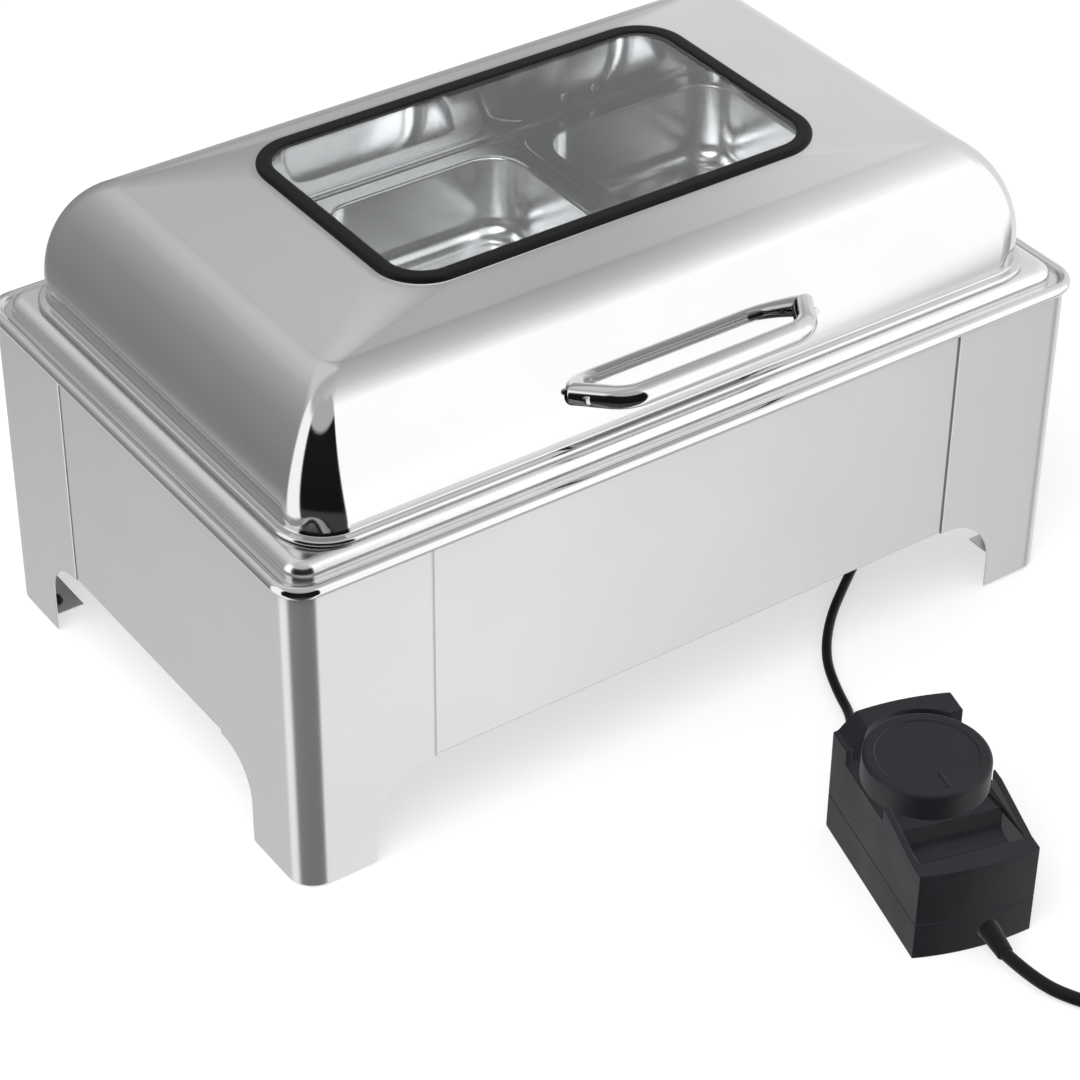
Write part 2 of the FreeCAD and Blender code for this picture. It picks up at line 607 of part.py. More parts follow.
def lid_handle():
    """A round bar bent into a bow, cut to the curve of the lid at both feet."""
    point, outward = handle_frame()
    foot_x = HANDLE_SPAN / 2
    foot = V(foot_x + HANDLE_ROOT * HANDLE_SPREAD / HANDLE_STANDOFF, 0, 0) - outward * HANDLE_ROOT
    knee = V(foot_x - HANDLE_SPREAD, 0, 0) + outward * HANDLE_STANDOFF
    corners = [V(-foot.x, foot.y, foot.z), V(-knee.x, knee.y, knee.z), knee, foot]
    edges = []
    start = corners[0]
    for before, corner, after in zip(corners, corners[1:], corners[2:]):
        arriving = (corner - before).normalize()
        leaving = (after - corner).normalize()
        turn = arriving.getAngle(leaving)
        cut = HANDLE_BEND * math.tan(turn / 2)
        inward = (leaving - arriving).normalize()
        centre = corner + inward * (HANDLE_BEND / math.cos(turn / 2))
        edges.append(Part.LineSegment(start, corner - arriving * cut).toShape())
        arc = Part.Arc(corner - arriving * cut, centre - inward * HANDLE_BEND, corner + leaving * cut)
        edges.append(arc.toShape())
        start = corner + leaving * cut
    edges.append(Part.LineSegment(start, corners[-1]).toShape())
    heading = (corners[1] - corners[0]).normalize()
    profile = Part.Wire(Part.Circle(corners[0], heading, HANDLE_RADIUS).toShape())
    bar = Part.Wire(edges).makePipeShell([profile], True, False)
    bar.translate(point)
    bar = bar.cut(dome(0))
    for screw_point in handle_screw_points()[0]:
        hole_depth = PAST + HANDLE_SCREW_DEPTH
        bar = bar.cut(rod(screw_point - outward * PAST, outward, HANDLE_SCREW_RADIUS, hole_depth))
    return bar


def handle_screws():
    """A screw from inside the lid into each foot of the handle."""
    points, outward = handle_screw_points()
    screws = []
    for point in points:
        seat = point - outward * 2 * SHEET
        head = rod(seat - outward * SCREW_HEAD_HEIGHT, outward, 2 * HANDLE_SCREW_RADIUS, SCREW_HEAD_HEIGHT)
        shank = rod(seat, outward, HANDLE_SCREW_RADIUS, SHEET + HANDLE_SCREW_DEPTH)
        screws.append(fuse([head, shank]))
    return screws


# ---------------------------------------------------------------- lid hinges
def hinge_arm(x):
    """A strap riveted to the lid's skirt, with a knuckle round the pin."""
    skirt = LID_WIDTH / 2
    pad = box(x - ARM_PAD_WIDTH / 2, x + ARM_PAD_WIDTH / 2, skirt, skirt + ARM_PAD,
              ARM_PAD_BOTTOM, SKIRT_TOP)
    strap = box(x - ARM_WIDTH / 2, x + ARM_WIDTH / 2, skirt, HINGE_Y,
                HINGE_Z - ARM_THICKNESS / 2, HINGE_Z + ARM_THICKNESS / 2)
    knuckle = rod(V(x - ARM_WIDTH / 2, HINGE_Y, HINGE_Z), X_AXIS, KNUCKLE_RADIUS, ARM_WIDTH)
    bore = rod(V(x - ARM_WIDTH, HINGE_Y, HINGE_Z), X_AXIS, HINGE_PIN_RADIUS + PIN_CLEARANCE, 2 * ARM_WIDTH)
    arm = fuse([pad, strap, knuckle]).cut(bore)
    for point in rivet_points():
        arm = arm.cut(rod(point - Y_AXIS * PAST, Y_AXIS, RIVET_RADIUS, 2 * PAST))
    return arm


def arm_rivets():
    rivets = []
    for point in rivet_points():
        inner = rod(point - Y_AXIS * (SHEET + RIVET_HEAD), Y_AXIS, 2 * RIVET_RADIUS, RIVET_HEAD)
        shank = rod(point - Y_AXIS * SHEET, Y_AXIS, RIVET_RADIUS, SHEET + ARM_PAD)
        outer = rod(point + Y_AXIS * ARM_PAD, Y_AXIS, 2 * RIVET_RADIUS, RIVET_HEAD)
        rivets.append(fuse([inner, shank, outer]))
    return rivets


def bracket_screw_points():
    """Two screws for each hinge bracket, on the outside of the back panel."""
    height = WALL_TOP - BRACKET_DROP / 2
    return [V(side * HINGE_SPACING / 2 + shift * BRACKET_WIDTH / 3.5, HALF_WIDTH - SHEET, height)
            for side in (-1, 1) for shift in (-1, 1)]


def hinge_bracket(x):
    """A cranked plate on the back panel, with two ears that hold the pin."""
    wall = HALF_WIDTH - SHEET
    riser_face = HALF_WIDTH + RIM_OVERHANG + CLEAR
    riser_back = riser_face + BRACKET_SHEET
    riser_top = HINGE_Z - KNUCKLE_RADIUS - SHEET
    half = BRACKET_WIDTH / 2
    pad = box(x - half, x + half, wall, wall + BRACKET_SHEET, WALL_TOP - BRACKET_DROP, WALL_TOP - CLEAR)
    crank = box(x - half, x + half, wall, riser_back, WALL_TOP - CLEAR - 2 * BRACKET_SHEET, WALL_TOP - CLEAR)
    riser = box(x - half, x + half, riser_face, riser_back, WALL_TOP - CLEAR - BRACKET_SHEET, riser_top)
    pieces = [pad, crank, riser]
    inner = ARM_WIDTH / 2 + EAR_GAP
    ear_radius = KNUCKLE_RADIUS - EAR_GAP
    for side in (-1, 1):
        near = x + side * inner if side > 0 else x - inner - EAR_THICKNESS
        web = box(near, near + EAR_THICKNESS, riser_face, HINGE_Y + ear_radius, WALL_TOP - CLEAR, HINGE_Z)
        eye = rod(V(near, HINGE_Y, HINGE_Z), X_AXIS, ear_radius, EAR_THICKNESS)
        pieces += [web, eye]
    bracket = fuse(pieces)
    bracket = bracket.cut(rod(V(x - half, HINGE_Y, HINGE_Z), X_AXIS, HINGE_PIN_RADIUS, BRACKET_WIDTH))
    for point in bracket_screw_points():
        bracket = bracket.cut(rod(point - Y_AXIS * PAST, Y_AXIS, BRACKET_SCREW_RADIUS, 2 * PAST))
    return bracket


def hinge_pin(x):
    """A headed pin through both ears and the knuckle."""
    half = ARM_WIDTH / 2 + EAR_GAP + EAR_THICKNESS
    shank = rod(V(x - half, HINGE_Y, HINGE_Z), X_AXIS, HINGE_PIN_RADIUS, 2 * half + PIN_HEAD)
    head = rod(V(x - half - PIN_HEAD, HINGE_Y, HINGE_Z), X_AXIS, 1.6 * HINGE_PIN_RADIUS, PIN_HEAD)
    return fuse([shank, head])


def bracket_screws():
    screws = []
    for point in bracket_screw_points():
        face = point + Y_AXIS * BRACKET_SHEET
        head = rod(face, Y_AXIS, 2 * BRACKET_SCREW_RADIUS, SCREW_HEAD_HEIGHT)
        shank_length = BRACKET_SHEET + SHEET + NUT_HEIGHT + 1
        shank = rod(face - Y_AXIS * shank_length, Y_AXIS, BRACKET_SCREW_RADIUS, shank_length)
        screws.append(fuse([head, shank]))
    return screws


def bracket_nuts():
    nuts = []
    for point in bracket_screw_points():
        nut = hexagon(V(0, 0, 0), NUT_FLATS - 1, NUT_HEIGHT - 1)
        nut = nut.cut(rod(V(0, 0, -PAST), Z_AXIS, BRACKET_SCREW_RADIUS, NUT_HEIGHT + 2 * PAST))
        nut.rotate(V(0, 0, 0), X_AXIS, 90)
        nut.translate(point - Y_AXIS * SHEET)
        nuts.append(nut)
    return nuts


# ---------------------------------------------------------------- heater
def stud_points():
    return [V(sx * STUD_SPACING_X / 2, sy * STUD_SPACING_Y / 2, BASIN_FLOOR)
            for sx in (-1, 1) for sy in (-1, 1)]


def drill_for_studs(shape):
    """Clear the studs through a piece."""
    for point in stud_points():
        start = point - V(0, 0, 2 * COVER_DEPTH)
        shape = shape.cut(rod(start, Z_AXIS, STUD_RADIUS + HOLE_CLEARANCE, 3 * COVER_DEPTH))
    return shape


def heater_plate():
    plate = rounded_block(HEATER_LENGTH / 2, HEATER_WIDTH / 2, COVER_RADIUS, PLATE_BOTTOM, BASIN_FLOOR)
    return drill_for_studs(plate)


def heating_element():
    """A sheathed element bent into a flat M, with its two cold ends at the right."""
    z = PLATE_BOTTOM - ELEMENT_RADIUS
    half = ELEMENT_LENGTH / 2 - ELEMENT_PITCH / 2
    y_rows = [(-1.5 + n) * ELEMENT_PITCH for n in range(4)]
    edges = []
    side = 1
    for y, y_next in zip(y_rows, y_rows[1:] + [None]):
        edges.append(Part.LineSegment(V(side * half, y, z), V(-side * half, y, z)).toShape())
        if y_next is not None:
            mid = V(-side * (half + ELEMENT_PITCH / 2), (y + y_next) / 2, z)
            edges.append(Part.Arc(V(-side * half, y, z), mid, V(-side * half, y_next, z)).toShape())
        side = -side
    profile = Part.Wire(Part.Circle(V(half, y_rows[0], z), X_AXIS, ELEMENT_RADIUS).toShape())
    return Part.Wire(edges).makePipeShell([profile], True, False)


def element_clamps():
    """Two bars that hold the element against the plate, between pairs of studs."""
    bars = []
    for sx in (-1, 1):
        x = sx * STUD_SPACING_X / 2
        reach = (STUD_SPACING_X - ELEMENT_LENGTH) / 2 + CLAMP_BAR_WIDTH
        inner = x - sx * reach
        outer = x + sx * CLAMP_BAR_WIDTH / 2
        bar = box(min(inner, outer), max(inner, outer), -HEATER_WIDTH / 2, HEATER_WIDTH / 2,
                  ELEMENT_BOTTOM - CLAMP_BAR, ELEMENT_BOTTOM)
        bars.append(drill_for_studs(bar))
    return bars


def stud_spacers():
    """Sleeves on the studs between the clamp bars and the plate."""
    sleeves = []
    for point in stud_points():
        base = V(point.x, point.y, ELEMENT_BOTTOM)
        sleeve = rod(base, Z_AXIS, 2 * STUD_RADIUS, PLATE_BOTTOM - ELEMENT_BOTTOM)
        sleeves.append(sleeve.cut(rod(base, Z_AXIS, STUD_RADIUS + HOLE_CLEARANCE, COVER_DEPTH)))
    return sleeves


def insulation_pad():
    """Fibre board on the floor of the cover."""
    bottom = COVER_BOTTOM + SHEET
    half_width = COVER_WIDTH / 2 - PAD_MARGIN
    right = terminal_x() - TERMINAL_LENGTH / 2 - SHEET
    pad = box(-COVER_LENGTH / 2 + PAD_MARGIN, right, -half_width, half_width, bottom, bottom + PAD_THICKNESS)
    return drill_for_studs(pad)


def heater_cover():
    """A tray screwed up against the underside of the basin."""
    outside = rounded_block(COVER_LENGTH / 2, COVER_WIDTH / 2, COVER_RADIUS, COVER_BOTTOM, BASIN_FLOOR)
    inside = rounded_block(COVER_LENGTH / 2 - SHEET, COVER_WIDTH / 2 - SHEET, COVER_RADIUS - SHEET,
                           COVER_BOTTOM + SHEET, BASIN_FLOOR + PAST)
    gland_hole = rod(gland_centre() - X_AXIS * PAST, X_AXIS, GLAND_RADIUS, 2 * PAST)
    return drill_for_studs(outside.cut(inside).cut(gland_hole))


def weld_studs():
    length = COVER_DEPTH + 1.5 * NUT_HEIGHT
    return [rod(point - V(0, 0, length), Z_AXIS, STUD_RADIUS, length) for point in stud_points()]


def stud_nuts():
    nuts = []
    for point in stud_points():
        base = V(point.x, point.y, COVER_BOTTOM - NUT_HEIGHT)
        nuts.append(hexagon(base, NUT_FLATS, NUT_HEIGHT).cut(rod(base, Z_AXIS, STUD_RADIUS, NUT_HEIGHT)))
    return nuts


def thermal_cutout():
    """A bimetal disc switch on the plate, between two rows of the element."""
    bottom = PLATE_BOTTOM - CUTOUT_HEIGHT
    can = rod(V(0, 0, bottom), Z_AXIS, CUTOUT_RADIUS, CUTOUT_HEIGHT)
    reach = CUTOUT_RADIUS + CUTOUT_TAB
    tabs = box(-reach, reach, -CUTOUT_TAB / 2, CUTOUT_TAB / 2, bottom, bottom + SHEET)
    return fuse([can, tabs])


def terminal_x():
    return COVER_LENGTH / 2 - TERMINAL_MARGIN - TERMINAL_LENGTH / 2


def terminal_block():
    """A ceramic block on the floor of the cover, beside the gland."""
    x = terminal_x()
    bottom = COVER_BOTTOM + SHEET
    block = box(x - TERMINAL_LENGTH / 2, x + TERMINAL_LENGTH / 2, GLAND_Y - TERMINAL_WIDTH / 2,
                GLAND_Y + TERMINAL_WIDTH / 2, bottom, bottom + TERMINAL_HEIGHT)
    for shift in (-1, 0, 1):
        y = GLAND_Y + shift * TERMINAL_WIDTH / 3
        block = block.cut(rod(V(x, y, bottom + TERMINAL_HEIGHT / 2), Z_AXIS, TERMINAL_HOLE, TERMINAL_HEIGHT))
    return block


def heater_wiring():
    """Wires from the terminal block towards the element's ends and the cut-out, over the pad."""
    x = terminal_x() - TERMINAL_LENGTH / 2
    z = COVER_BOTTOM + SHEET + PAD_THICKNESS + 2 * WIRE_RADIUS
    row = 1.2 * ELEMENT_PITCH
    ends = (V(x - TERMINAL_WIDTH, -row, z), V(CUTOUT_RADIUS + CUTOUT_TAB, 0, z),
            V(x - TERMINAL_WIDTH, row, z))
    wires = []
    for shift, end in zip((-1, 0, 1), ends):
        begin = V(x, GLAND_Y + shift * TERMINAL_WIDTH / 3, z)
        wires.append(tube([begin, begin - X_AXIS * TERMINAL_WIDTH / 3, end], WIRE_RADIUS))
    return wires


def gland_centre():
    return V(COVER_LENGTH / 2, GLAND_Y, BASIN_FLOOR - GLAND_DROP)


def heater_gland():
    """The bush and boot that lead the cord out of the cover."""
    centre = gland_centre()
    neck = rod(centre - X_AXIS * 2 * SHEET, X_AXIS, GLAND_RADIUS, 2 * SHEET)
    flange = rod(centre, X_AXIS, GLAND_FLANGE, 2 * SHEET)
    boot = Part.makeCone(BOOT_RADIUS, HEATER_CORD_RADIUS + BOOT_LIP, GLAND_LENGTH, centre, X_AXIS)
    return fuse([neck, flange, boot])


# ---------------------------------------------------------------- controller
# Drawn lying along Y with its mains end towards -Y, then turned and moved to its place.
def place(shape):
    shape = shape.copy()
    shape.rotate(V(0, 0, 0), Z_AXIS, BOX_TURN)
    shape.translate(BOX_CENTRE)
    return shape


def placed_point(x, y, z):
    turn = math.radians(BOX_TURN)
    turned = V(x * math.cos(turn) - y * math.sin(turn), x * math.sin(turn) + y * math.cos(turn), z)
    return BOX_CENTRE + turned


def box_block(inset, z0, z1):
    """The controller's plan with its two bowed ends, shrunk by an inset."""
    x = BOX_WIDTH / 2 - inset
    y = BOX_LENGTH / 2 - BOX_BOW - inset
    tip = BOX_LENGTH / 2 - inset
    edges = [
        Part.LineSegment(V(x, -y, z0), V(x, y, z0)).toShape(),
        Part.Arc(V(x, y, z0), V(0, tip, z0), V(-x, y, z0)).toShape(),
        Part.LineSegment(V(-x, y, z0), V(-x, -y, z0)).toShape(),
        Part.Arc(V(-x, -y, z0), V(0, -tip, z0), V(x, -y, z0)).toShape(),
    ]
    return Part.Face(Part.Wire(edges)).extrude(V(0, 0, z1 - z0))


def box_corners():
    x = BOX_WIDTH / 2 - BOX_SCREW_INSET
    y = BOX_LENGTH / 2 - BOX_BOW - BOX_SCREW_INSET
    return [(sx * x, sy * y) for sx in (-1, 1) for sy in (-1, 1)]


def cord_exits():
    """Where each cord passes through a shell: x, y, height, cord radius and the way out along Y."""
    end = BOX_LENGTH / 2
    return ((0.0, end, HEATER_EXIT_HEIGHT, HEATER_CORD_RADIUS, 1),
            (MAINS_EXIT_OFFSET, -end, MAINS_EXIT_HEIGHT, MAINS_CORD_RADIUS, -1))


def controller_base():
    """The lower shell, with a post for each screw."""
    shell = box_block(0, 0, BASE_HEIGHT).cut(box_block(BOX_WALL, BOX_FLOOR, BASE_HEIGHT + 1))
    posts = [rod(V(x, y, 0), Z_AXIS, BOX_POST_RADIUS, BASE_HEIGHT) for x, y in box_corners()]
    shell = fuse([shell] + posts)
    for x, y in box_corners():
        shell = shell.cut(rod(V(x, y, -1), Z_AXIS, BOX_SCREW_RADIUS + HOLE_CLEARANCE, BASE_HEIGHT + 2))
        shell = shell.cut(rod(V(x, y, -1), Z_AXIS, 2 * BOX_SCREW_RADIUS, 1 + SCREW_HEAD_HEIGHT))
    for x, y, z, radius, way in cord_exits():
        shell = shell.cut(rod(V(x, y - way * BOOT_NECK, z), Y_AXIS * way, BOOT_RADIUS, BOOT_NECK + PAST))
    return shell


def scoop_span():
    """The finger hollow: half width, and its front and back along Y."""
    return BOX_WIDTH / 2 - SCOOP_RIM, -SCOOP_END, -SCOOP_START


def controller_cover():
    """The upper shell: a deck for the dial, two cheeks, a bridge behind and a finger hollow in front."""
    above = BRIDGE_HEIGHT + 1
    far = BOX_LENGTH
    body = box_block(0, BASE_HEIGHT, DECK_HEIGHT)
    bridge_start = DIAL_AXIS.y + BRIDGE_START * DIAL_RADIUS
    bridge = box_block(0, BASE_HEIGHT, BRIDGE_HEIGHT).common(box(-far, far, bridge_start, far, 0, above))
    left = -BOX_WIDTH / 2
    over_fall = Part.Face(Part.makePolygon([
        V(left, 0, BRIDGE_SIDE), V(left + BRIDGE_FALL, 0, BRIDGE_HEIGHT), V(left + BRIDGE_FALL, 0, above),
        V(left, 0, above), V(left, 0, BRIDGE_SIDE)]))
    bridge = bridge.cut(over_fall.extrude(V(0, far, 0)))
    inner_face = BOX_WIDTH / 2 - CHEEK
    cheeks = box_block(0, BASE_HEIGHT, CHEEK_HEIGHT)
    cheeks = cheeks.cut(box(-inner_face, inner_face, -far, far, DECK_HEIGHT, above))
    cheeks = cheeks.cut(box(-far, far, -far, -SCOOP_END, DECK_HEIGHT, above))
    notch_back = DIAL_AXIS.y + CHEEK_NOTCH
    cheeks = cheeks.cut(box(-far, 0, DIAL_AXIS.y - CHEEK_NOTCH, notch_back, DECK_HEIGHT, above))
    cheeks = cheeks.cut(box(0, far, DIAL_AXIS.y - CHEEK_POINT, notch_back, DECK_HEIGHT, above))
    slope_start = DIAL_AXIS.y - CHEEK_NOTCH
    over_slope = Part.Face(Part.makePolygon([
        V(-far, slope_start, CHEEK_HEIGHT), V(-far, -SCOOP_END, DECK_HEIGHT),
        V(-far, -SCOOP_END, above), V(-far, slope_start, above), V(-far, slope_start, CHEEK_HEIGHT)]))
    cheeks = cheeks.cut(over_slope.extrude(V(2 * far, 0, 0)))
    outside = fuse([body, bridge, cheeks])
    outside = outside.cut(rod(DIAL_AXIS + V(0, 0, DECK_HEIGHT), Z_AXIS, DIAL_RADIUS + 2 * CLEAR, above))
    scoop_x, scoop_front, scoop_back = scoop_span()
    scoop_floor = DECK_HEIGHT - SCOOP_DEPTH
    scoop = box(-scoop_x, scoop_x, scoop_front, scoop_back, scoop_floor, DECK_HEIGHT + 1)
    along = [e for e in level_edges(scoop, scoop_floor) if e.BoundBox.XLength > scoop_x]
    scoop = scoop.makeFillet(SCOOP_ROUND, along)
    inside = box_block(BOX_WALL, BASE_HEIGHT - 1, DECK_HEIGHT - BOX_WALL)
    lining = box(-scoop_x - BOX_WALL, scoop_x + BOX_WALL, scoop_front - BOX_WALL, scoop_back + BOX_WALL,
                 scoop_floor - BOX_WALL, DECK_HEIGHT)
    shell = outside.cut(inside.cut(lining))
    post_height = DECK_HEIGHT - BASE_HEIGHT - BOX_WALL / 2
    posts = [rod(V(x, y, BASE_HEIGHT), Z_AXIS, BOX_POST_RADIUS, post_height) for x, y in box_corners()]
    shell = fuse([shell] + posts).cut(scoop)
    for x, y in box_corners():
        shell = shell.cut(rod(V(x, y, BASE_HEIGHT - 1), Z_AXIS, BOX_SCREW_RADIUS, BOX_SCREW_GRIP + 3))
    return shell.cut(rod(DIAL_AXIS, Z_AXIS, SHAFT_HOLE_RADIUS, above))


def controller_dial():
    """The round dial with a sunk top and a raised mark at its front edge."""
    centre = DIAL_AXIS + V(0, 0, DIAL_BASE)
    knob = rod(centre, Z_AXIS, DIAL_RADIUS, DIAL_HEIGHT)
    top = DIAL_BASE + DIAL_HEIGHT
    knob = knob.makeFillet(DIAL_EDGE_ROUND, level_edges(knob, top))
    dish_radius = DIAL_RADIUS - 3 * DIAL_EDGE_ROUND
    knob = knob.cut(rod(DIAL_AXIS + V(0, 0, top - DIAL_DISH), Z_AXIS, dish_radius, DIAL_DISH + 1))
    start = DIAL_AXIS.y - dish_radius + 1
    half = DIAL_MARK_WIDTH / 2
    mark = box(DIAL_AXIS.x - half, DIAL_AXIS.x + half, start, start + DIAL_MARK_LENGTH,
               top - 2 * DIAL_DISH, top)
    return fuse([knob, mark]).cut(rod(centre - Z_AXIS, Z_AXIS, SHAFT_RADIUS, DIAL_HEIGHT / 2 + 1))


def shaft_bottom():
    return BOARD_HEIGHT + BOARD_THICKNESS + REGULATOR_FLOOR


def dial_shaft():
    """The shaft from the regulator up into the dial."""
    bottom = shaft_bottom()
    return rod(DIAL_AXIS + V(0, 0, bottom), Z_AXIS, SHAFT_RADIUS, DIAL_BASE + DIAL_HEIGHT / 2 - bottom)


def regulator():
    """The rotary regulator on the board, bored for the shaft."""
    base = DIAL_AXIS + V(0, 0, BOARD_HEIGHT + BOARD_THICKNESS)
    body = rod(base, Z_AXIS, REGULATOR_RADIUS, REGULATOR_HEIGHT)
    bush = rod(base, Z_AXIS, SHAFT_RADIUS + 1.5 * SHEET, REGULATOR_HEIGHT + REGULATOR_BUSH)
    bore_start = DIAL_AXIS + V(0, 0, shaft_bottom() - CLEAR)
    bore = rod(bore_start, Z_AXIS, SHAFT_RADIUS + PIN_CLEARANCE, DECK_HEIGHT)
    return fuse([body, bush]).cut(bore)


def circuit_board():
    """The board that carries the regulator, on the posts' shoulders."""
    board = box(-BOARD_WIDTH / 2, BOARD_WIDTH / 2, -BOARD_LENGTH / 2, BOARD_LENGTH / 2,
                BOARD_HEIGHT, BOARD_HEIGHT + BOARD_THICKNESS)
    legs = [box(sx * BOARD_WIDTH / 3 - 2, sx * BOARD_WIDTH / 3 + 2, sy * BOARD_LENGTH / 3 - 2,
                sy * BOARD_LENGTH / 3 + 2, BOX_FLOOR, BOARD_HEIGHT) for sx in (-1, 1) for sy in (-1, 1)]
    parts = fuse([board] + legs)
    for x, y in box_corners():
        parts = parts.cut(rod(V(x, y, 0), Z_AXIS, BOX_POST_RADIUS + CLEAR, 100))
    return parts


def heat_sink():
    """A finned block on the board, under the finger hollow."""
    top = DECK_HEIGHT - SCOOP_DEPTH - BOX_WALL - CLEAR
    base_z = BOARD_HEIGHT + BOARD_THICKNESS
    height = min(SINK_HEIGHT, top - base_z)
    y = -BOARD_LENGTH / 2 + SINK_LENGTH / 2 + BOX_POST_RADIUS
    front = y - SINK_LENGTH / 2
    back = y + SINK_LENGTH / 2
    pieces = [box(-SINK_WIDTH / 2, SINK_WIDTH / 2, front, back, base_z, base_z + FIN_THICKNESS)]
    pitch = (SINK_WIDTH - FIN_THICKNESS) / (SINK_FINS - 1)
    for n in range(SINK_FINS):
        x = -SINK_WIDTH / 2 + n * pitch
        pieces.append(box(x, x + FIN_THICKNESS, front, back, base_z, base_z + height))
    return fuse(pieces)


def cord_boot(x, y, z, radius, way):
    """A tapered boot where a cord leaves the controller."""
    neck = rod(V(x, y - way * BOOT_NECK, z), Y_AXIS * way, BOOT_RADIUS, BOOT_NECK)
    taper = Part.makeCone(BOOT_RADIUS, radius + BOOT_LIP, BOOT_LENGTH, V(x, y, z), Y_AXIS * way)
    return fuse([neck, taper])


def cord_clamps():
    """A block round each cord, on the floor of the base."""
    clamps = []
    for x, y, z, radius, way in cord_exits():
        middle = y - way * (BOOT_NECK + CORD_TAIL / 2)
        half = CORD_CLAMP_WIDTH / 2
        block = box(x - 2.5 * radius, x + 2.5 * radius, middle - half, middle + half,
                    BOX_FLOOR, z + 1.5 * radius)
        groove = rod(V(x, middle - CORD_CLAMP_WIDTH, z), Y_AXIS, radius, 2 * CORD_CLAMP_WIDTH)
        clamps.append(block.cut(groove))
    return clamps


def cord_tails():
    """The ends of both cords inside the controller."""
    return [rod(V(x, y - way * BOOT_NECK, z), Y_AXIS * -way, radius, CORD_TAIL)
            for x, y, z, radius, way in cord_exits()]


def box_screws():
    screws = []
    for x, y in box_corners():
        head = rod(V(x, y, SCREW_HEAD_HEIGHT - 2), Z_AXIS, 2 * BOX_SCREW_RADIUS - HOLE_CLEARANCE, 2)
        length = BASE_HEIGHT - SCREW_HEAD_HEIGHT + BOX_SCREW_GRIP
        shank = rod(V(x, y, SCREW_HEAD_HEIGHT), Z_AXIS, BOX_SCREW_RADIUS, length)
        screws.append(fuse([head, shank]))
    return screws


# ---------------------------------------------------------------- cords
def heater_route():
    """From the gland under the basin, down to the table and forward to the controller."""
    x, y, z, radius, way = cord_exits()[0]
    start = gland_centre() + X_AXIS * GLAND_LENGTH
    low = HEATER_CORD_RADIUS
    return [
        start,
        start + V(28, 0, 0),
        V(229, -39, 113), V(241, -50, 76), V(240, -66, 40), V(223, -86, 14),
        V(196, -106, low + 1), V(165, -127, low), V(131, -152, low), V(103, -182, low),
        V(88, -213, low), V(77, -241, low + 3),
        placed_point(x, y + way * (BOOT_LENGTH + 25), z),
        placed_point(x, y + way * BOOT_LENGTH, z),
    ]


def mains_route():
    """From the controller's front end, along the table to the coil."""
    x, y, z, radius, way = cord_exits()[1]
    low = MAINS_CORD_RADIUS
    return [
        placed_point(x, y + way * BOOT_LENGTH, z),
        V(14, -485, low + 3), V(27, -509, low), V(45, -532, low), V(67, -555, low),
        V(93, -575, low + 1), V(120, -588, low + 2), V(142, -591, low + 2),
    ]


def coil_outline():
    """Five turns lying two, two and one, as the outer shape of the coil."""
    d = 2 * MAINS_CORD_RADIUS
    r = COIL_MID_RADIUS
    base = COIL_TIE
    points = [V(r - d, 0, base), V(r + d, 0, base), V(r + d, 0, base + 2 * d), V(r + d / 2, 0, base + 3 * d),
              V(r - d / 2, 0, base + 3 * d), V(r - d, 0, base + 2 * d), V(r - d, 0, base)]
    return Part.Face(Part.makePolygon(points))


def mains_coil():
    coil = coil_outline().revolve(V(0, 0, 0), Z_AXIS, 360)
    coil.translate(COIL_CENTRE)
    return coil


def cord_tie():
    """A strap round the coil."""
    d = 2 * MAINS_CORD_RADIUS
    inner = COIL_MID_RADIUS - d - COIL_TIE
    outer = COIL_MID_RADIUS + d + COIL_TIE
    strap = box(inner, outer, -TIE_WIDTH / 2, TIE_WIDTH / 2, 0, 3 * d + 2 * COIL_TIE)
    strap.rotate(V(0, 0, 0), Z_AXIS, TIE_BEARING)
    strap.translate(COIL_CENTRE)
    return strap.cut(mains_coil())


def plug_frame():
    """The plug's back face and heading on the table."""
    return COIL_CENTRE + PLUG_OFFSET + V(0, 0, PLUG_HEIGHT / 2), Y_AXIS


def tail_route():
    """From the coil round to the plug."""
    back, heading = plug_frame()
    low = MAINS_CORD_RADIUS
    c = COIL_CENTRE
    end = back - heading * BOOT_LENGTH
    return [c + V(28, -34, low + 2), c + V(56, -34, low + 1), c + V(81, -20, low + 4),
            end - heading * 27, end]


def plug_body():
    """A moulded plug lying on its side, with its tapered boot."""
    back, heading = plug_frame()
    body = box(-PLUG_WIDTH / 2, PLUG_WIDTH / 2, 0, PLUG_LENGTH, 0, PLUG_HEIGHT)
    body = body.makeFillet(PLUG_CORNER, [e for e in body.Edges if e.BoundBox.YLength > PLUG_LENGTH / 2])
    body.translate(V(back.x, back.y, 0))
    boot_start = back - heading * BOOT_LENGTH
    boot = Part.makeCone(MAINS_CORD_RADIUS + BOOT_LIP, 0.4 * PLUG_HEIGHT, BOOT_LENGTH, boot_start, heading)
    return fuse([body, boot])


def plug_blades():
    """Two flat blades and a round earth pin."""
    back, heading = plug_frame()
    face = back + heading * PLUG_LENGTH
    shift = -EARTH_PIN_OFFSET / 3
    blades = []
    for side in (-1, 1):
        z = face.z + side * BLADE_SPACING / 2
        blades.append(box(face.x + shift - BLADE_WIDTH / 2, face.x + shift + BLADE_WIDTH / 2,
                          face.y, face.y + BLADE_LENGTH, z - BLADE_THICKNESS / 2, z + BLADE_THICKNESS / 2))
    blades.append(rod(face + V(shift + EARTH_PIN_OFFSET, 0, 0), heading, EARTH_PIN_RADIUS, EARTH_PIN_LENGTH))
    return blades


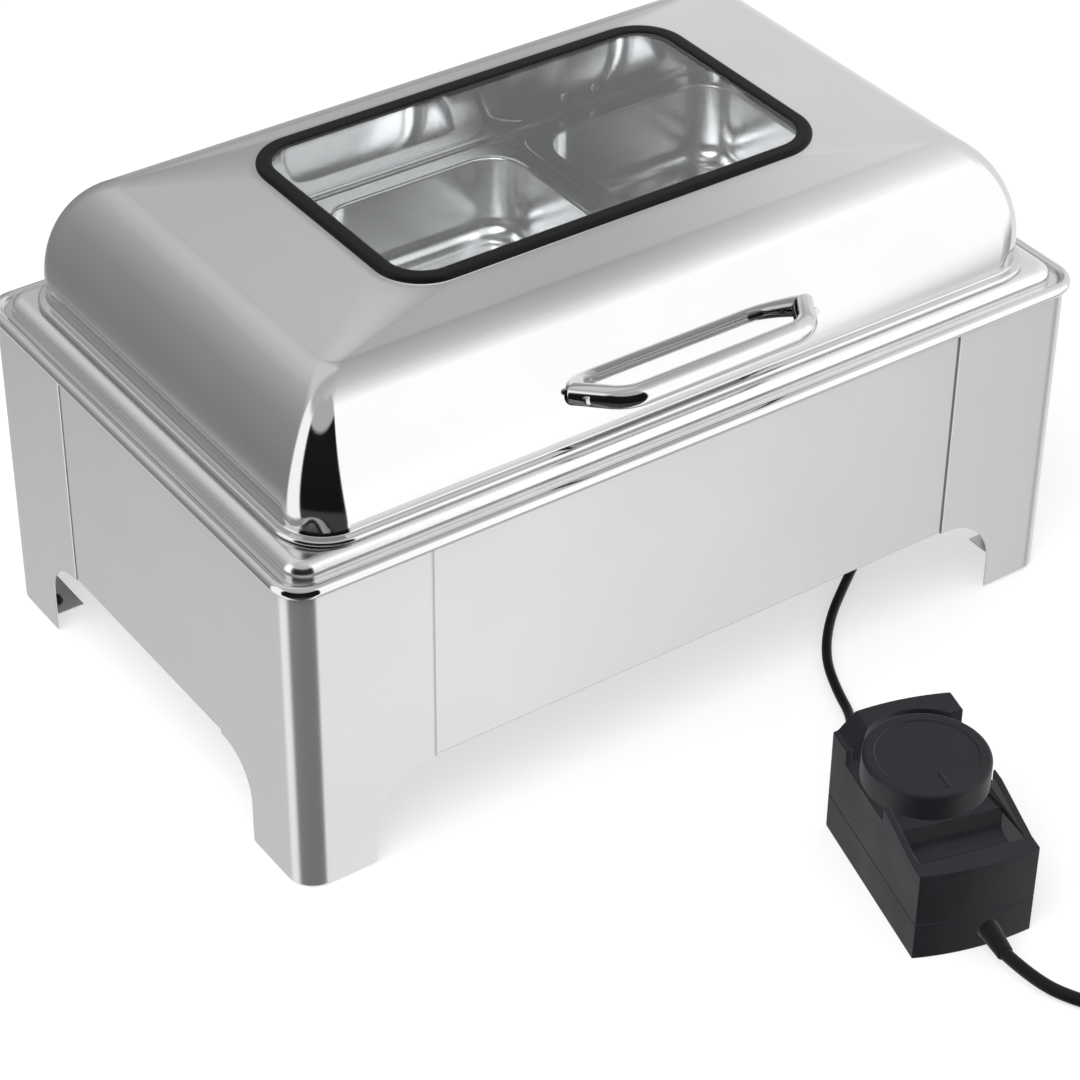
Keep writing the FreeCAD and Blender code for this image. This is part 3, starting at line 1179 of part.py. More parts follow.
# ---------------------------------------------------------------- the assembly
def main():
    os.makedirs("parts", exist_ok=True)

    leg = corner_leg()
    foot = rubber_foot()
    corners = {"back_right": (leg, foot), "back_left": (mirror_x(leg), mirror_x(foot)),
               "front_right": (mirror_y(leg), mirror_y(foot)),
               "front_left": (mirror_x(mirror_y(leg)), mirror_x(mirror_y(foot)))}
    for name, (leg_shape, _) in corners.items():
        export("leg_" + name, leg_shape)
    export("rubber_feet", [foot_shape for _, foot_shape in corners.values()])

    long_panel = panel(HALF_LENGTH - LEG_FRONT_WIDTH, HALF_WIDTH)
    back_panel = long_panel
    for point in bracket_screw_points():
        back_panel = back_panel.cut(rod(point - Y_AXIS * PAST, Y_AXIS, BRACKET_SCREW_RADIUS, 2 * PAST))
    export("back_panel", back_panel)
    export("front_panel", mirror_y(long_panel))
    end_panel = panel(HALF_WIDTH - LEG_SIDE_WIDTH, HALF_LENGTH)
    end_panel.rotate(V(0, 0, 0), Z_AXIS, -90)
    export("right_panel", end_panel)
    export("left_panel", mirror_x(end_panel))
    export("top_rim", top_rim())

    export("water_pan", water_pan())
    pan = food_pan()
    for number in range(PAN_COUNT):
        one = pan.copy()
        one.translate(V((number - (PAN_COUNT - 1) / 2) * PAN_PITCH, 0, 0))
        export("food_pan_" + str(number + 1), one)

    export("lid_shell", lid_shell())
    export("window_gasket", window_gasket())
    export("window_glass", window_glass())
    export("lid_handle", lid_handle())
    export("handle_screws", handle_screws())
    export("arm_rivets", arm_rivets())
    export("bracket_screws", bracket_screws())
    export("bracket_nuts", bracket_nuts())
    for name, side in (("left", -1), ("right", 1)):
        x = side * HINGE_SPACING / 2
        export("hinge_arm_" + name, hinge_arm(x))
        export("hinge_bracket_" + name, hinge_bracket(x))
        export("hinge_pin_" + name, hinge_pin(x))

    export("heater_plate", heater_plate())
    export("heating_element", heating_element())
    export("element_clamps", element_clamps())
    export("stud_spacers", stud_spacers())
    export("insulation_pad", insulation_pad())
    export("heater_cover", heater_cover())
    export("weld_studs", weld_studs())
    export("stud_nuts", stud_nuts())
    export("thermal_cutout", thermal_cutout())
    export("terminal_block", terminal_block())
    export("heater_wiring", heater_wiring())
    export("heater_gland", heater_gland())

    export("controller_base", place(controller_base()))
    export("controller_cover", place(controller_cover()))
    export("controller_dial", place(controller_dial()))
    export("dial_shaft", place(dial_shaft()))
    export("regulator", place(regulator()))
    export("circuit_board", place(circuit_board()))
    export("heat_sink", place(heat_sink()))
    export("cord_clamps", [place(c) for c in cord_clamps()])
    export("cord_tails", [place(t) for t in cord_tails()])
    export("controller_screws", [place(s) for s in box_screws()])
    for name, exit_values in zip(("heater_cord_boot", "mains_cord_boot"), cord_exits()):
        export(name, place(cord_boot(*exit_values)))

    export("heater_cord", tube(heater_route(), HEATER_CORD_RADIUS, "heater cord"))
    export("mains_cord", tube(mains_route(), MAINS_CORD_RADIUS, "mains cord").cut(mains_coil()))
    export("mains_cord_coil", mains_coil())
    export("mains_cord_tail", tube(tail_route(), MAINS_CORD_RADIUS, "tail").cut(mains_coil()))
    export("cord_tie", cord_tie())
    export("plug_body", plug_body())
    export("plug_blades", plug_blades())


main()
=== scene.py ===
# %% [markdown]
# # An electric food warmer tray
# A countertop warmer: a steel stand, a heated water pan, three lift-out food pans, a domed lid with
# a window, and a dial controller on its cord. The solids of the warmer are already built and packed.
# This lesson dresses them: smooth sheet metal, rolled edges, rubber, cords, finishes and light.
# Blender works in metres here, +Z is up and the lid's handle faces -Y. Routes and sections are listed
# in millimetres, as on a maker's drawing, and MM turns them into metres.

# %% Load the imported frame
import json
import math
import bpy
import bmesh
from mathutils import Matrix, Vector


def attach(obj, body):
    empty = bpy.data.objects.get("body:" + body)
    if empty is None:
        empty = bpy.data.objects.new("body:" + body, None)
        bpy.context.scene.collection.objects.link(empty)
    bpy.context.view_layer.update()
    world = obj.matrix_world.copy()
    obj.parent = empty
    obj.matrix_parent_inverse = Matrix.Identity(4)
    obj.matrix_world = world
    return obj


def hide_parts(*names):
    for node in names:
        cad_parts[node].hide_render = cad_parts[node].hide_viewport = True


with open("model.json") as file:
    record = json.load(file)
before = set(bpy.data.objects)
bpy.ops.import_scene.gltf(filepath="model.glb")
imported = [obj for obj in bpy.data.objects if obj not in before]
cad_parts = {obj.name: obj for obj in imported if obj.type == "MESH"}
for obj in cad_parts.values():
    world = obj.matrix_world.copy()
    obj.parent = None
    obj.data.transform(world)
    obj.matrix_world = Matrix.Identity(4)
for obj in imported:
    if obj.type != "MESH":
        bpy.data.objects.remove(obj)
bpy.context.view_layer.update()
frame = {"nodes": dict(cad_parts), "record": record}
MM = 0.001

# %% [markdown]
# ## The camera
# The warmer stands turned by about 35 degrees, seen from above its front left corner. A long lens a
# little over two metres away keeps the edges of the stand nearly parallel. Three turns and two small
# side steps are all that the framing needs, so the lens has no shift.

# %% Aim the camera
YAW, PITCH, ROLL = math.radians(-35.214), math.radians(36.864), math.radians(0.566)
DISTANCE, SIDE_STEP, LIFT = 2.20103, 0.00483, 0.02281
LENS, SENSOR = 109.97, 36.0
NEAREST, FARTHEST = 0.1, 60.0

back = Vector((math.sin(YAW) * math.cos(PITCH), -math.cos(YAW) * math.cos(PITCH), math.sin(PITCH)))
level = back.cross(Vector((0, 0, 1))).normalized() * -1
rise = back.cross(level)
right = level * math.cos(ROLL) + rise * math.sin(ROLL)
up = rise * math.cos(ROLL) - level * math.sin(ROLL)

camera = bpy.data.objects.new("camera", bpy.data.cameras.new("camera"))
bpy.context.collection.objects.link(camera)
turn = Matrix((right, up, back)).transposed().to_4x4()
camera.matrix_world = Matrix.Translation(back * DISTANCE + right * SIDE_STEP + up * LIFT) @ turn
camera.data.lens = LENS
camera.data.sensor_width = SENSOR
camera.data.clip_start, camera.data.clip_end = NEAREST, FARTHEST
bpy.context.scene.camera = camera
bpy.context.scene.view_settings.view_transform = "Standard"
print("camera at", [round(v, 3) for v in camera.location], "lens", round(camera.data.lens, 1))

# %% [markdown]
# ## Finishes are node trees
# Every finish here is made from noise and a few numbers, with no picture files. One small helper adds
# a shader node: plain numbers fill its sockets, and outputs of other nodes are linked to them. Most
# of a noise's values lie between 0.3 and 0.7, so that is the range that gets spread out.

# %% Helpers for finishes
NOISE_LOW, NOISE_HIGH = 0.3, 0.7
finishes = {}


def add(tree, kind, inputs=None, **settings):
    """One shader node with its sockets filled or linked."""
    made = tree.nodes.new("ShaderNode" + kind)
    for key, value in settings.items():
        setattr(made, key, value)
    for key, value in (inputs or {}).items():
        if isinstance(value, bpy.types.NodeSocket):
            tree.links.new(value, made.inputs[key])
        else:
            made.inputs[key].default_value = value
    return made


def new_finish(slot):
    """An empty finish for a material slot: its node tree and its main shader."""
    finish = bpy.data.materials.new(slot)
    finish.use_nodes = True
    finishes[slot] = finish
    return finish.node_tree, finish.node_tree.nodes["Principled BSDF"]


def drive(tree, socket, value, low, high):
    """Let a noise value move one socket between two numbers."""
    ranged = add(tree, "MapRange", {"Value": value, "From Min": NOISE_LOW, "From Max": NOISE_HIGH,
                                    "To Min": low, "To Max": high})
    tree.links.new(ranged.outputs[0], socket)


def tint(tree, socket, value, dark, light):
    """Let a noise value mix two close colours."""
    mixed = add(tree, "ValToRGB", {"Fac": value})
    for element, position, colour in zip(mixed.color_ramp.elements, (NOISE_LOW, NOISE_HIGH), (dark, light)):
        element.position = position
        element.color = (*colour, 1.0)
    tree.links.new(mixed.outputs[0], socket)


print("helpers ready")

# %% [markdown]
# ## Bare steel
# The warmer is bare stainless steel. The lid and the rolled rim are polished until they mirror the
# room, and the stand's walls are satin. Two noises do it: a long stretched one for the brushing
# lines, which moves the roughness and a very shallow bump, and a slow one for the slight waves of
# thin pressed sheet. The stretch is a Mapping scale, small along the lines and large across them.
# The satin walls are a little less than full metal, which lets them glow evenly as fine brushing does.

# %% Steel finishes
DULLER = 0.97


def steel_finish(slot, colour, roughness, spread, grain, scratch, wave, metal=1.0):
    """Bare steel. grain stretches the brushing lines, scratch and wave are heights in metres."""
    tree, shader = new_finish(slot)
    place = add(tree, "TexCoord").outputs["Object"]
    lines = add(tree, "Mapping", {"Vector": place, "Scale": grain}).outputs[0]
    fine = add(tree, "TexNoise", {"Vector": lines, "Scale": 1.0, "Detail": 4.0, "Roughness": 0.6}).outputs[0]
    slow = add(tree, "TexNoise", {"Vector": place, "Scale": 11.0, "Detail": 1.0}).outputs[0]
    drive(tree, shader.inputs["Roughness"], fine, roughness - spread, roughness + spread)
    tint(tree, shader.inputs["Base Color"], slow, [c * DULLER for c in colour], colour)
    waves = add(tree, "Bump", {"Height": slow, "Strength": 1.0, "Distance": wave}).outputs[0]
    scratches = add(tree, "Bump", {"Height": fine, "Strength": 1.0, "Distance": scratch, "Normal": waves})
    tree.links.new(scratches.outputs[0], shader.inputs["Normal"])
    shader.inputs["Metallic"].default_value = metal


steel_finish("polished_steel", (0.62, 0.62, 0.625), 0.075, 0.02, (60, 500, 500), 0.0000012, 0.00012)
steel_finish("stand_steel", (0.60, 0.60, 0.605), 0.25, 0.008, (12, 12, 500), 0.0000001, 0.0001, metal=0.74)
steel_finish("pan_steel", (0.74, 0.74, 0.745), 0.22, 0.03, (300, 20, 300), 0.0000005, 0.0001)
steel_finish("fastener_steel", (0.66, 0.66, 0.67), 0.30, 0.06, (300, 300, 300), 0.000004, 0.00005)
steel_finish("element_steel", (0.20, 0.19, 0.18), 0.46, 0.08, (200, 200, 200), 0.00001, 0.00005)
steel_finish("heater_aluminium", (0.72, 0.72, 0.74), 0.42, 0.08, (500, 500, 500), 0.00001, 0.00005)
print("steel finishes:", sorted(finishes))

# %% [markdown]
# ## Rubber and plastic
# Black rubber and moulded plastic are never pure black. The feet, the window seal and the cords are
# smooth satin rubber, and the controller is plastic with the fine spark texture of its mould: a dense
# noise as a shallow bump, and a slower one that varies the colour and the gloss a little. The same
# recipe serves the insulation, the circuit board and, with full metal, the plug's brass pins.

# %% Rubber and plastic finishes
def moulded_finish(slot, dark, light, roughness, spread, texture, height, shine=0.5, metal=0.0):
    """Moulded rubber or plastic. texture is how many bumps fit in a metre, height is in metres."""
    tree, shader = new_finish(slot)
    place = add(tree, "TexCoord").outputs["Object"]
    dense = add(tree, "TexNoise", {"Vector": place, "Scale": texture, "Detail": 3.0}).outputs[0]
    slow = add(tree, "TexNoise", {"Vector": place, "Scale": 35.0, "Detail": 4.0}).outputs[0]
    drive(tree, shader.inputs["Roughness"], slow, roughness - spread, roughness + spread)
    tint(tree, shader.inputs["Base Color"], slow, dark, light)
    bump = add(tree, "Bump", {"Height": dense, "Strength": 0.6, "Distance": height})
    tree.links.new(bump.outputs[0], shader.inputs["Normal"])
    shader.inputs["Specular IOR Level"].default_value = shine
    shader.inputs["Metallic"].default_value = metal


moulded_finish("cord_rubber", (0.004, 0.004, 0.005), (0.007, 0.007, 0.008), 0.45, 0.06, 1800.0, 0.00002,
               shine=0.18)
moulded_finish("window_rubber", (0.004, 0.004, 0.004), (0.007, 0.007, 0.007), 0.45, 0.06, 1200.0, 0.00002,
               shine=0.12)
moulded_finish("foot_rubber", (0.010, 0.010, 0.010), (0.018, 0.018, 0.018), 0.62, 0.08, 900.0, 0.00005)
moulded_finish("controller_plastic", (0.010, 0.010, 0.0135), (0.015, 0.015, 0.020), 0.50, 0.05, 1500.0,
               0.00006, shine=0.30)
moulded_finish("plug_plastic", (0.018, 0.018, 0.019), (0.026, 0.026, 0.028), 0.46, 0.06, 1400.0, 0.00005)
moulded_finish("inner_plastic", (0.74, 0.73, 0.69), (0.82, 0.81, 0.77), 0.45, 0.05, 700.0, 0.00003)
moulded_finish("ceramic", (0.80, 0.78, 0.72), (0.86, 0.85, 0.80), 0.22, 0.05, 300.0, 0.00003)
moulded_finish("wire_insulation", (0.66, 0.62, 0.52), (0.76, 0.72, 0.62), 0.75, 0.08, 2500.0, 0.00008)
moulded_finish("fibre_board", (0.74, 0.72, 0.67), (0.84, 0.83, 0.79), 0.90, 0.05, 900.0, 0.0003)
moulded_finish("board_green", (0.02, 0.16, 0.06), (0.04, 0.24, 0.09), 0.35, 0.06, 500.0, 0.00002)
moulded_finish("plug_brass", (0.66, 0.62, 0.50), (0.76, 0.72, 0.60), 0.24, 0.06, 900.0, 0.00001, metal=1.0)
print("finishes so far:", len(finishes))

# %% [markdown]
# ## Tempered glass
# The pane is clear glass with a faint haze of fingerprints, which a slow noise gives to its roughness.
# Light that only passes through to make shadows is let by with a Transparent shader, because a
# path tracer would otherwise leave the pans under the window in the dark.

# %% Glass finish
CLEAR_GLASS = (0.93, 0.95, 0.95)
GLASS_IOR = 1.45

tree, shader = new_finish("window_glass")
place = add(tree, "TexCoord").outputs["Object"]
haze = add(tree, "TexNoise", {"Vector": place, "Scale": 30.0, "Detail": 3.0}).outputs[0]
drive(tree, shader.inputs["Roughness"], haze, 0.0, 0.02)
tint(tree, shader.inputs["Base Color"], haze, CLEAR_GLASS, (0.96, 0.98, 0.98))
shader.inputs["Transmission Weight"].default_value = 1.0
shader.inputs["IOR"].default_value = GLASS_IOR
clear = add(tree, "BsdfTransparent", {"Color": (*CLEAR_GLASS, 1.0)}).outputs[0]
ray = add(tree, "LightPath").outputs
passing = add(tree, "Math", {0: ray["Is Shadow Ray"], 1: ray["Is Diffuse Ray"]}, operation="MAXIMUM")
chosen = add(tree, "MixShader", {0: passing.outputs[0], 1: shader.outputs[0], 2: clear})
tree.links.new(chosen.outputs[0], tree.nodes["Material Output"].inputs["Surface"])
print("glass ready")

# %% [markdown]
# ## Every piece rides on a body
# A piece stands in for one or more solids, moves with the same body as they do and takes the finish
# of their slot. The record knows both, so one helper looks them up. The controller, the plug and the
# cords lie beside mirror-bright steel. They are kept out of its reflections, so that the walls stay
# plain, by hiding them from glossy rays.

# %% A helper that settles a piece
SLOT_OF = {part["node"]: part["material_slot"] for part in frame["record"]["subparts"]}
BODY_OF = {node: body for body, nodes in frame["record"]["behaviour"]["bodies"].items() for node in nodes}
CONTROLLER = ["controller_base", "controller_cover", "controller_dial", "controller_screws", "dial_shaft",
              "regulator", "circuit_board", "heat_sink", "cord_clamps", "cord_tails",
              "heater_cord_boot", "mains_cord_boot"]
LYING = {*CONTROLLER, "heater_cord", "mains_cord", "mains_cord_coil", "mains_cord_tail", "plug_body",
         "plug_blades", "cord_tie"}


def settle(piece, *nodes):
    """Link a new piece, let it ride and stand for its solids, and give it their finish."""
    bpy.context.collection.objects.link(piece)
    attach(piece, BODY_OF[nodes[0]])
    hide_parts(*nodes)
    piece.data.materials.clear()
    piece.data.materials.append(finishes[SLOT_OF[nodes[0]]])
    piece.visible_glossy = nodes[0] not in LYING
    return piece


print(len(SLOT_OF), "solids on", len(set(BODY_OF.values())), "bodies,", len(LYING), "lie beside the warmer")

# %% [markdown]
# ## The cords
# A cord is a fixed length of something flexible, so its shape is one smooth line: a NURBS curve
# whose control points are the corners of its route, with a round bevel as thick as the cord. The
# bevel has a radius of 1, and each point's own radius scales it to the cord, because Blender reads
# the points' radius when it works out how large the curve is.

# %% A helper for a cord
def route_curve(name, points, radius):
    """One smooth cord through its route's points, given in millimetres."""
    curve = bpy.data.curves.new(name, "CURVE")
    curve.dimensions = "3D"
    spline = curve.splines.new("NURBS")
    spline.points.add(len(points) - 1)
    for target, point in zip(spline.points, points):
        target.co = (*(Vector(point) * MM), 1.0)
        target.radius = radius * MM
    spline.order_u = 3
    spline.use_endpoint_u = True
    spline.resolution_u = 8
    curve.bevel_depth = 1.0
    curve.bevel_resolution = 6
    curve.use_fill_caps = True
    return bpy.data.objects.new(name, curve)


print("cord helper ready")

# %% [markdown]
# ### The heater cord
# It leaves the gland under the basin, drops to the table beside the right end's leg gap and comes
# forward under the warmer to the controller's back boot.

# %% The heater cord
HEATER_CORD_RADIUS = 3.25
heater_route = [
    (172, -30, 132), (200, -30, 132), (229, -39, 113), (241, -50, 76), (240, -66, 40), (223, -86, 14),
    (196, -106, 4.25), (165, -127, 3.25), (131, -152, 3.25), (103, -182, 3.25), (88, -213, 3.25),
    (77, -241, 6.25), (54.117, -266.333, 17), (47.647, -290.481, 17),
]
heater_cord = settle(route_curve("heater_cord_curve", heater_route, HEATER_CORD_RADIUS), "heater_cord")
print("heater cord:", len(heater_route), "points")

# %% [markdown]
# ### The wound part of the mains cord
# The mains cord leaves the controller's front end, and its spare length is wound in five turns: two
# layers of two and one on top. Each turn has twenty points, worked out from a short list of stations:
# how far round, how wide, how high. The first turn climbs over the place where the last one leaves,
# so that no turn passes through another. A smooth line cuts inside its corners, so the corners stand
# a little further out than the cord does.

# %% The coil
TURN_POINTS = 20
STEP = 360 / TURN_POINTS
COIL_CENTRE = Vector((140, -545, 0))
coil_stations = [  # degrees turned, radius and height of the cord's middle
    (-90, 46, 5.2), (-50, 46, 14), (-15, 46, 6), (10, 46, 5.2), (215, 46, 5.2), (262, 46, 13.5),
    (285, 46, 19), (320, 46, 22), (350, 46, 15), (380, 46, 13.2), (600, 46, 13.2), (640, 43.5, 22),
    (670, 41.5, 28.5), (705, 42, 22.5), (730, 42, 21.2), (950, 42, 21.2), (985, 38.5, 17),
    (1020, 37.6, 13.2), (1310, 38, 13.2), (1350, 37.6, 6.5), (1380, 37.6, 5.2), (1700, 37.6, 5.2),
]


def coil_point(turned):
    """The corner of the route at so many degrees, on straight steps between the stations."""
    for (a, wide_a, high_a), (b, wide_b, high_b) in zip(coil_stations, coil_stations[1:]):
        if a <= turned <= b:
            share = (turned - a) / (b - a)
            wide = (wide_a + (wide_b - wide_a) * share) / math.cos(math.radians(STEP) / 2)
            high = high_a + (high_b - high_a) * share
    angle = math.radians(turned)
    return COIL_CENTRE + Vector((wide * math.cos(angle), wide * math.sin(angle), high))


first, last = coil_stations[0][0], coil_stations[-1][0]
coil_route = [coil_point(first + STEP * n) for n in range(int((last - first) / STEP) + 1)]
print("coil:", len(coil_route), "points,", round(len(coil_route) / TURN_POINTS, 1), "turns")

# %% [markdown]
# ### The mains cord
# One curve runs from the controller through the coil to the plug, so no joint shows where the turns
# begin and end.

# %% The mains cord
MAINS_CORD_RADIUS = 4.0
lead_route = [
    (10.081, -461.589, 13), (14, -485, 7), (27, -509, 4), (45, -532, 4), (67, -555, 4), (93, -575, 5),
    (120, -588, 6),
]
tail_route = [
    (168, -579, 5.2), (196, -579, 5), (221, -565, 8), (235, -540, 13), (235, -513, 13), (235, -491, 13),
]
mains_route = lead_route + coil_route + tail_route
mains_curve = route_curve("mains_cord_curve", mains_route, MAINS_CORD_RADIUS)
mains_cord = settle(mains_curve, "mains_cord", "mains_cord_coil", "mains_cord_tail")
print("mains cord:", len(mains_route), "points")

# %% [markdown]
# ### What each cord is
# Both cords are built: the heater cord, and one mains cord from the controller through the coil to the plug.
# It measures the curves against them.

# %% The two cords
print("declared:", heater_cord.name, "and", mains_cord.name)

# %% [markdown]
# ## Pressed sheet as stacked rings
# The lid, the pans and the rim are pressed and rolled from sheet, and every level of them is a
# rectangle with round corners. So one ring function and one loft make them all: rings with the same
# number of points, joined by quads. Small rings close together make the rolled edges, and a weighted
# normal keeps the broad faces flat in the reflections.

# %% Rings
def level_ring(half_x, half_y, radius, z, corner=12, run=8):
    """Points in millimetres round a rectangle with round corners."""
    arcs = []
    for quarter, (sx, sy) in enumerate(((1, 1), (-1, 1), (-1, -1), (1, -1))):
        middle = Vector((sx * (half_x - radius), sy * (half_y - radius), z))
        turns = [math.radians(90 * (quarter + n / corner)) for n in range(corner + 1)]
        arcs.append([middle + Vector((radius * math.cos(t), radius * math.sin(t), 0)) for t in turns])
    points = []
    for arc, following in zip(arcs, arcs[1:] + arcs[:1]):
        points += arc
        points += [arc[-1].lerp(following[0], n / run) for n in range(1, run)]
    return points


def arc_levels(reach, start, end, steps):
    """Pairs of distance out and height along an arc of the sheet's section, with angles in degrees."""
    turns = [math.radians(start + (end - start) * n / steps) for n in range(steps + 1)]
    return [(reach * math.cos(t), reach * math.sin(t)) for t in turns]


print("a ring has", len(level_ring(10, 10, 2, 0)), "points")

# %% [markdown]
# ### From rings to a mesh
# bmesh builds the faces, and a helper turns any finished bmesh into an object: faces turned outwards,
# smooth shading, and crisp edges where the sheet really turns sharply.

# %% Lofts
def finished(name, mesh, sharp=None):
    """An object from a bmesh, shaded smooth except at edges sharper than so many degrees."""
    bmesh.ops.recalc_face_normals(mesh, faces=mesh.faces)
    data = bpy.data.meshes.new(name)
    mesh.to_mesh(data)
    mesh.free()
    data.shade_smooth()
    if sharp:
        data.set_sharp_from_angle(angle=math.radians(sharp))
    return bpy.data.objects.new(name, data)


def even_normals(piece):
    """Let the large faces of a piece decide how its edges are shaded."""
    even = piece.modifiers.new("even_normals", "WEIGHTED_NORMAL")
    even.keep_sharp = True


def loft(name, rings, sharp=40.0, shift_x=0.0):
    """Quads between stacked rings. A stack whose last ring is its first again is a closed band."""
    mesh = bmesh.new()
    shift = Vector((shift_x, 0, 0))
    banded = (rings[0][0] - rings[-1][0]).length < 1e-6
    stack = rings[:-1] if banded else rings
    rows = [[mesh.verts.new((point + shift) * MM) for point in ring] for ring in stack]
    for low, high in list(zip(rows, rows[1:])) + ([(rows[-1], rows[0])] if banded else []):
        for n in range(len(low)):
            m = (n + 1) % len(low)
            mesh.faces.new((low[n], low[m], high[m], high[n]))
    if not banded:
        mesh.faces.new(rows[0])
        mesh.faces.new(rows[-1])
    piece = finished(name, mesh, sharp)
    even_normals(piece)
    return piece


print("loft ready")

# %% [markdown]
# ## The lid
# The lid is drawn from one sheet: a rolled lip, a low upright skirt, a rounded shoulder that leans in
# all round, a crease, and a crown that rises to the window. The shoulder is a superellipse, which is
# fuller than a circle and gives the broad bright band.

# %% The levels of the lid
LID_X, LID_Y, LID_CORNER = 267.5, 163.5, 29.0
LID_BASE, SKIRT_TOP, CREASE, CROWN = 232.3, 245.0, 318.0, 327.0
LEAN, CREASE_CORNER = 44.0, 10.0
CROWN_RUN_X, CROWN_RUN_Y, CROWN_ROUNDING = 63.7, 21.6, 26.5
SHOULDER_POWER = 2 / 1.8


def lid_ring(half_x, half_y, radius, z):
    """A level of the lid, with finer corners than other rings have."""
    return level_ring(half_x, half_y, radius, z, corner=16)


def skirt_ring(outward, z):
    """A level of the lip or the skirt, so far outside the skirt."""
    return lid_ring(LID_X + outward, LID_Y + outward, LID_CORNER + outward, z)


def shoulder_ring(angle, sheet):
    """One level of the shoulder, 0 degrees at the skirt and 90 at the crease."""
    a = math.radians(angle)
    grown = math.sin(a) ** SHOULDER_POWER
    lean = 1 - max(math.cos(a), 0.0) ** SHOULDER_POWER
    inward = LEAN * lean + sheet * math.cos(a)
    return lid_ring(LID_X - inward, LID_Y - inward, LID_CORNER - (LID_CORNER - CREASE_CORNER) * grown - sheet,
                    SKIRT_TOP + (CREASE - SKIRT_TOP) * grown - sheet * math.sin(a))


def crown_ring(share, sheet):
    """A level of the crown between the crease and the flat round the window."""
    return lid_ring(LID_X - LEAN - CROWN_RUN_X * share, LID_Y - LEAN - CROWN_RUN_Y * share,
                    CREASE_CORNER + CROWN_ROUNDING * share - sheet * (1 - share),
                    CREASE + (CROWN - CREASE) * share - sheet)


print("lid from", LID_BASE, "to", CROWN, "mm")

# %% [markdown]
# ### The lid's sheet
# The rings run up the outside from the lip to the window's cut edge and down the inside again, one
# millimetre further in. So the sheet has a real thickness when the lid stands open.

# %% The lid
LIP_MIDDLE, LIP_RADIUS, LIP_RISE = 3.58, 1.92, 2.0
FLAT_EDGE, WINDOW_EDGE = (158, 96.1, 34.7), (151, 89.1, 27.7)  # half length, half width, corner radius
wall_levels = [(0.8, 236.22), (0.25, 236.6), (0, 237.3), (0, 241)]  # how far outward, and height

lid_rings = [skirt_ring(-1, LID_BASE)]
lid_rings += [skirt_ring(LIP_MIDDLE + out, LID_BASE + LIP_RISE + high)
              for out, high in arc_levels(LIP_RADIUS, -90, 90, 8)]
lid_rings += [skirt_ring(outward, z) for outward, z in wall_levels]
lid_rings += [shoulder_ring(angle, 0) for angle in (*range(0, 90, 3), 89)]
lid_rings += [crown_ring(share, 0) for share in (0.02, 0.2, 0.4, 0.6, 0.8, 0.96)]
lid_rings += [lid_ring(*FLAT_EDGE, CROWN), lid_ring(*WINDOW_EDGE, CROWN), lid_ring(*WINDOW_EDGE, CROWN - 1)]
lid_rings += [crown_ring(share, 1) for share in (1.0, 0.66, 0.33, 0.0)]
lid_rings += [shoulder_ring(angle, 1) for angle in range(84, -1, -6)]
lid_rings += [skirt_ring(-1, LID_BASE)]
lid_dome = settle(loft("lid_dome", lid_rings), "lid_shell")
print("lid:", len(lid_rings), "levels,", len(lid_dome.data.polygons), "faces")

# %% [markdown]
# ## The window
# A black rubber seal grips the lid's cut edge on its outside and the pane on its inside. Its section
# is a soft oval, so it is a closed band of rings. The pane itself is a plain flat plate, and the
# solid's own mesh serves.

# %% Seal
SEAL_X, SEAL_Y, SEAL_CORNER = 156.3, 94.4, 33.0
seal_section = [  # inset from the seal's outside, and height
    (0, 327.05), (0.1, 328.0), (0.6, 328.9), (1.5, 329.4), (3.0, 329.5), (7.0, 329.5), (8.6, 329.4),
    (9.5, 329.1), (9.9, 328.7), (10, 328.4), (10, 324.6), (9.9, 324.2), (9.5, 323.8), (8.6, 323.55),
    (3.0, 323.5), (1.5, 323.6), (0.5, 324.2), (0.1, 325.0), (0, 326.0), (0, 327.05),
]
seal_rings = [lid_ring(SEAL_X - inset, SEAL_Y - inset, SEAL_CORNER - inset, z) for inset, z in seal_section]
window_seal = settle(loft("window_seal", seal_rings, sharp=60), "window_gasket")
print("seal:", len(seal_rings) - 1, "levels,", len(window_seal.data.polygons), "faces")

# %% [markdown]
# ## The rolled rim
# The stand's top edge is rolled into a bead, and behind it a flat ledge runs inwards and turns down.
# The bead catches a bright line all round the warmer.

# %% Rim
RIM_X, RIM_Y, RIM_CORNER, TIGHTEST = 294.0, 185.0, 21.5, 2.0
rim_section = [  # inset from the bead's outside, and height
    (4, 217), (3.8, 217), (2.35, 217.29), (1.11, 218.11), (0.29, 219.35), (0, 220.8), (0, 221.2),
    (0.29, 222.65), (1.11, 223.89), (2.35, 224.71), (3.8, 225), (4.2, 225), (5.65, 224.71),
    (6.89, 223.89), (7.71, 222.65), (8.0, 222.2), (8.4, 222.0), (10, 222), (24.6, 222),
    (25.5, 221.8), (25.9, 221.3), (26, 220.6), (26, 215), (25, 215), (25, 221), (8.1, 221), (8, 217.4),
    (7.6, 217), (4, 217),
]
rim_rings = [level_ring(RIM_X - inset, RIM_Y - inset, max(RIM_CORNER - inset, TIGHTEST), z)
             for inset, z in rim_section]
rim_bead = settle(loft("rim_bead", rim_rings), "top_rim")
print("rim:", len(rim_rings) - 1, "levels,", len(rim_bead.data.polygons), "faces")

# %% [markdown]
# ## The water pan
# A deep pan hangs in the stand by its flange. The flange rolls over into a turned-down hem, steps
# down to a seat for the food pans, and the basin has upright walls and a rounded floor. Its bends are
# arcs of rings, and both faces of the sheet turn round the same middle, so it stays equally thick.

